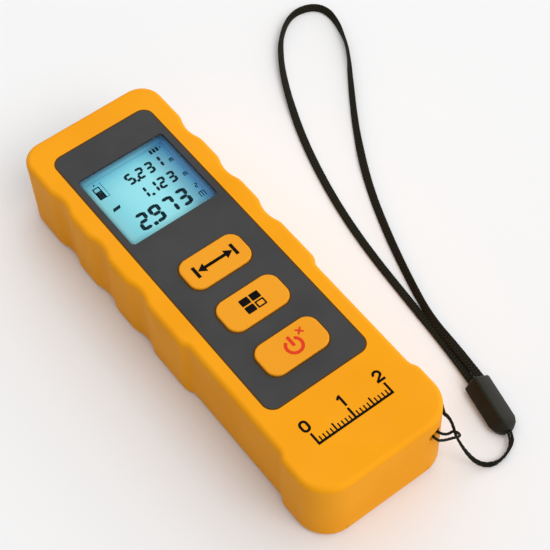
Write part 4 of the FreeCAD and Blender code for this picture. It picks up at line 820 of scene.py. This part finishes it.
# ledge under the window, and the lining of the opening from there down to the screen; both carry the screen's
# glow and painted shade, though neither is lit from behind
window_x = (window_high.x - window_low.x) / 2
window_y = (window_high.y - window_low.y) / 2
window_middle = (window_high.y + window_low.y) / 2
LEDGE, SHEET = 0.95, 0.02
window_edge = rounded(0, window_middle, window_x - SHEET, window_y - SHEET, 1.0)
recess_edge = rounded(0, window_middle, window_x - LEDGE, window_y - LEDGE, 0.7)
recess_face = rounded(0, window_middle, window_x - LEDGE - SHEET, window_y - LEDGE - SHEET, 0.68)
ledge_low, ledge_high = window_low.z - 2 * SHEET, window_low.z - SHEET
frame_ring("ledge_painted_glow_ring", window_edge, recess_edge,
           (ledge_low, ledge_high, ledge_high, ledge_low), ledge_painted_glow)
frame_ring("lining_painted_glow", recess_edge, recess_face,
           (screen_top + SHEET, ledge_low, ledge_low, screen_top + SHEET), wall_painted_glow)


# ---------------------------------------------------------------- key legends

PRINT = 0.02


def key_top(node):
    """Middle and level of a key's face."""
    low, high = (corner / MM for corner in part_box(node))
    return (low.x + high.x) / 2, (low.y + high.y) / 2, high.z


def print_measure_legend():
    """A double arrow between two end bars."""
    x, y, z = key_top("measure_button")
    reach, head, stroke = 4.9, 2.0, 0.85
    arrow = [bar((x - reach + head, y), (x + reach - head, y), stroke)]
    for way in (-1, 1):
        tip, end = x + way * (reach - 0.1), x + way * (reach + 0.4)
        points = [(tip, y), (tip - way * head, y + 1.3), (tip - way * head, y - 1.3)]
        arrow.append(points if way < 0 else points[::-1])
        arrow.append(bar((end, y - 1.7), (end, y + 1.7), stroke))
    joined_prisms("measure_legend", arrow, z - PRINT, z + PRINT, black_print, "measure_key")


def print_mode_legend():
    """Three full squares and a hollow one."""
    x, y, z = key_top("mode_button")
    half_x, half_y, corner, stroke = 1.20, 0.99, 0.22, 0.40
    places = {(sx, sy): (x + sx * 1.38, y + sy * 1.17) for sx in (-1, 1) for sy in (-1, 1)}
    hollow = places.pop((1, -1))
    full = [rounded(*place, half_x, half_y, corner, 3) for place in places.values()]
    joined_prisms("mode_legend", full, z - PRINT, z + PRINT, black_print, "mode_key")
    frame_ring("mode_legend_open", rounded(*hollow, half_x, half_y, corner, 3),
               rounded(*hollow, half_x - stroke, half_y - stroke, 0.1, 3),
               (z - PRINT, z + PRINT, z + PRINT, z - PRINT), black_print, "mode_key")


def print_power_legends():
    """A broken ring with its stroke, and a small cross beside it."""
    x, y, z = key_top("power_button")
    x += 0.4
    ring = arc_band(x, y - 0.35, 1.95, 0.80, 124, 416)
    stroke = rounded(x, y + 0.95, 0.40, 1.45, 0.3, 3)
    joined_prisms("power_legend", [ring, stroke], z - PRINT, z + PRINT, red_print, "power_key")
    x, y, arm, notch = x + 3.15, y + 2.0, 0.80, 0.17
    inset = arm - notch * 2
    cross = []
    for sx, sy in ((1, 1), (-1, 1), (-1, -1), (1, -1)):
        tips = [(x + sx * arm, y + sy * inset), (x + sx * arm, y + sy * arm), (x + sx * inset, y + sy * arm)]
        if sx * sy > 0:
            cross += tips + [(x, y + 2 * notch * sy)]
        else:
            cross += tips[::-1] + [(x + 2 * notch * sx, y)]
    joined_prisms("clear_legend", [cross], z - PRINT, z + PRINT, red_print, "power_key")


print_measure_legend()
print_mode_legend()
print_power_legends()


# ---------------------------------------------------------------- printed rule at the foot

face_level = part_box("front_housing")[1].z / MM
RULE_Y, RULE_HALF, RULE_STROKE = -47.6, 10.0, 0.60
FIGURE_Y, FIGURE_STROKE = -42.5, 0.62
LONG_TICK, MIDDLE_TICK, SHORT_TICK = (3.0, 0.56), (2.2, 0.42), (1.45, 0.34)


def rule_figure(character, x):
    """Outlines of a plain figure 0, 1 or 2 over its tick, anticlockwise."""
    half, rise, edge = 0.80, 1.55, FIGURE_STROKE / 2
    top, foot = FIGURE_Y + rise, FIGURE_Y - rise
    if character == "1":
        return [[(x - 0.1, foot), (x + 0.5, foot), (x + 0.5, top), (x - 0.05, top), (x - 0.8, top - 0.65),
                 (x - 0.45, top - 1.05), (x - 0.1, top - 0.78)]]
    crown_y = top - half - edge
    if character == "0":
        bowl_y = FIGURE_Y * 2 - crown_y
        sides = [bar((side, bowl_y), (side, crown_y), FIGURE_STROKE) for side in (x - half, x + half)]
        return [arc_band(x, crown_y, half, FIGURE_STROKE, 0, 180, 16),
                arc_band(x, bowl_y, half, FIGURE_STROKE, 180, 360, 16)] + sides
    crown = arc_band(x, crown_y, half, FIGURE_STROKE, -38, 180, 20)
    shelf = foot + FIGURE_STROKE
    return [crown + [(x - half - edge, foot + 0.55), (x - half - edge, foot), (x + half + edge, foot),
                     (x + half + edge, shelf), (x - 0.25, shelf)]]


rule_end = RULE_HALF + LONG_TICK[1] / 2
rule = [bar((-rule_end, RULE_Y), (rule_end, RULE_Y), RULE_STROKE)]
for step in range(21):
    tick = -RULE_HALF + step
    height, width = LONG_TICK if step % 10 == 0 else MIDDLE_TICK if step % 5 == 0 else SHORT_TICK
    rule.append(bar((tick, RULE_Y + RULE_STROKE / 2), (tick, RULE_Y + height), width))
for index, character in enumerate("012"):
    rule += rule_figure(character, RULE_HALF * (index - 1))
joined_prisms("foot_rule", rule, face_level - PRINT, face_level + PRINT, black_print)


# ---------------------------------------------------------------- seams and their painted shade

def seam_shade_ring(name, x, y, half_x, half_y, corner, level, width):
    """A dark ring round a raised edge, lying on the surface beside it: the joint's dark gap, widened with
    painted shade of the gap and of the raised edge's side.
    """
    under = 0.05
    frame_ring(name, rounded(x, y, half_x + width, half_y + width, corner + width, 10),
               rounded(x, y, half_x - under, half_y - under, corner, 10),
               (level - PRINT, level + PRINT / 2, level + PRINT / 2, level - PRINT), seam_shadow)


KEY_HALF_X, KEY_HALF_Y, KEY_CORNER = 8.35, 4.6, 3.0
panel_low, panel_high = (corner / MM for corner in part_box("face_panel"))
panel_y = (panel_low.y + panel_high.y) / 2
seam_shade_ring("panel_seam_shade", 0, panel_y, panel_high.x, panel_high.y - panel_y, 2.6, face_level, 0.34)
for key in ("measure", "mode", "power"):
    key_x, key_y, _ = key_top(key + "_button")
    seam_shade_ring(key + "_key_seam_shade", key_x, key_y, KEY_HALF_X, KEY_HALF_Y, KEY_CORNER, panel_high.z, 0.42)


# ---------------------------------------------------------------- floor and light

def seen_share(tree):
    """1 for what the camera, a reflection or a clear window shows, 0 for light that bounces."""
    path = tree.nodes.new("ShaderNodeLightPath")
    through = math_node(tree, "MAXIMUM", path.outputs["Is Glossy Ray"], path.outputs["Is Transmission Ray"])
    return math_node(tree, "MAXIMUM", path.outputs["Is Camera Ray"], through)


def build_floor():
    """Wide pale sheet under the meter, greyer to the light that bounces off it than to the eye."""
    mesh = bpy.data.meshes.new("studio_floor")
    reach = 3.0
    corners = [(-reach, -reach, 0), (reach, -reach, 0), (reach, reach, 0), (-reach, reach, 0)]
    mesh.from_pydata(corners, [], [(0, 1, 2, 3)])
    floor = bpy.data.objects.new("studio_floor", mesh)
    scene.collection.objects.link(floor)
    finish, tree, shader = new_finish("pale_floor", Roughness=0.9, Specular_IOR_Level=0.0)
    grain = use(tree, GRAIN, Pebbles=300.0, Ripple=6.0)
    tones = use(tree, TONES, Tone=(0.93, 0.93, 0.93, 1), Deep_Tone=(0.91, 0.91, 0.915, 1))
    tree.links.new(grain.outputs["Drift"], tones.inputs["Drift"])
    colour = blend_colours(tree, seen_share(tree), (0.66, 0.66, 0.66, 1), tones.outputs["Color"])
    tree.links.new(colour, shader.inputs["Base Color"])
    mesh.materials.append(finish)


def build_light():
    """Soft sky, dimmer on the meter's left, and a wide weak lamp over its foot end."""
    world = bpy.data.worlds.new("studio_world")
    world.use_nodes = True
    tree = world.node_tree
    background = tree.nodes["Background"]
    split = add(tree, "ShaderNodeSeparateXYZ")
    tree.links.new(add(tree, "ShaderNodeTexCoord").outputs["Generated"], split.inputs[0])
    level, lean = 0.80, 0.58
    sky = math_node(tree, "ADD", math_node(tree, "MULTIPLY", split.outputs["X"], lean), level)
    tree.links.new(sky, background.inputs["Color"])
    seen = tree.nodes.new("ShaderNodeBackground")
    seen.inputs["Color"].default_value = (0.92, 0.92, 0.92, 1)
    mix = tree.nodes.new("ShaderNodeMixShader")
    tree.links.new(seen_share(tree), mix.inputs[0])
    tree.links.new(background.outputs[0], mix.inputs[1])
    tree.links.new(seen.outputs[0], mix.inputs[2])
    tree.links.new(mix.outputs[0], tree.nodes["World Output"].inputs["Surface"])
    scene.world = world
    sun = bpy.data.lights.new("studio_sun", "SUN")
    sun.energy = 0.90
    sun.angle = math.radians(40)
    lamp = bpy.data.objects.new("studio_sun", sun)
    lamp.rotation_euler = Vector((0.20, -0.90, 1.0)).to_track_quat("Z", "Y").to_euler()
    scene.collection.objects.link(lamp)


build_floor()
build_light()
scene.view_settings.view_transform = "Standard"
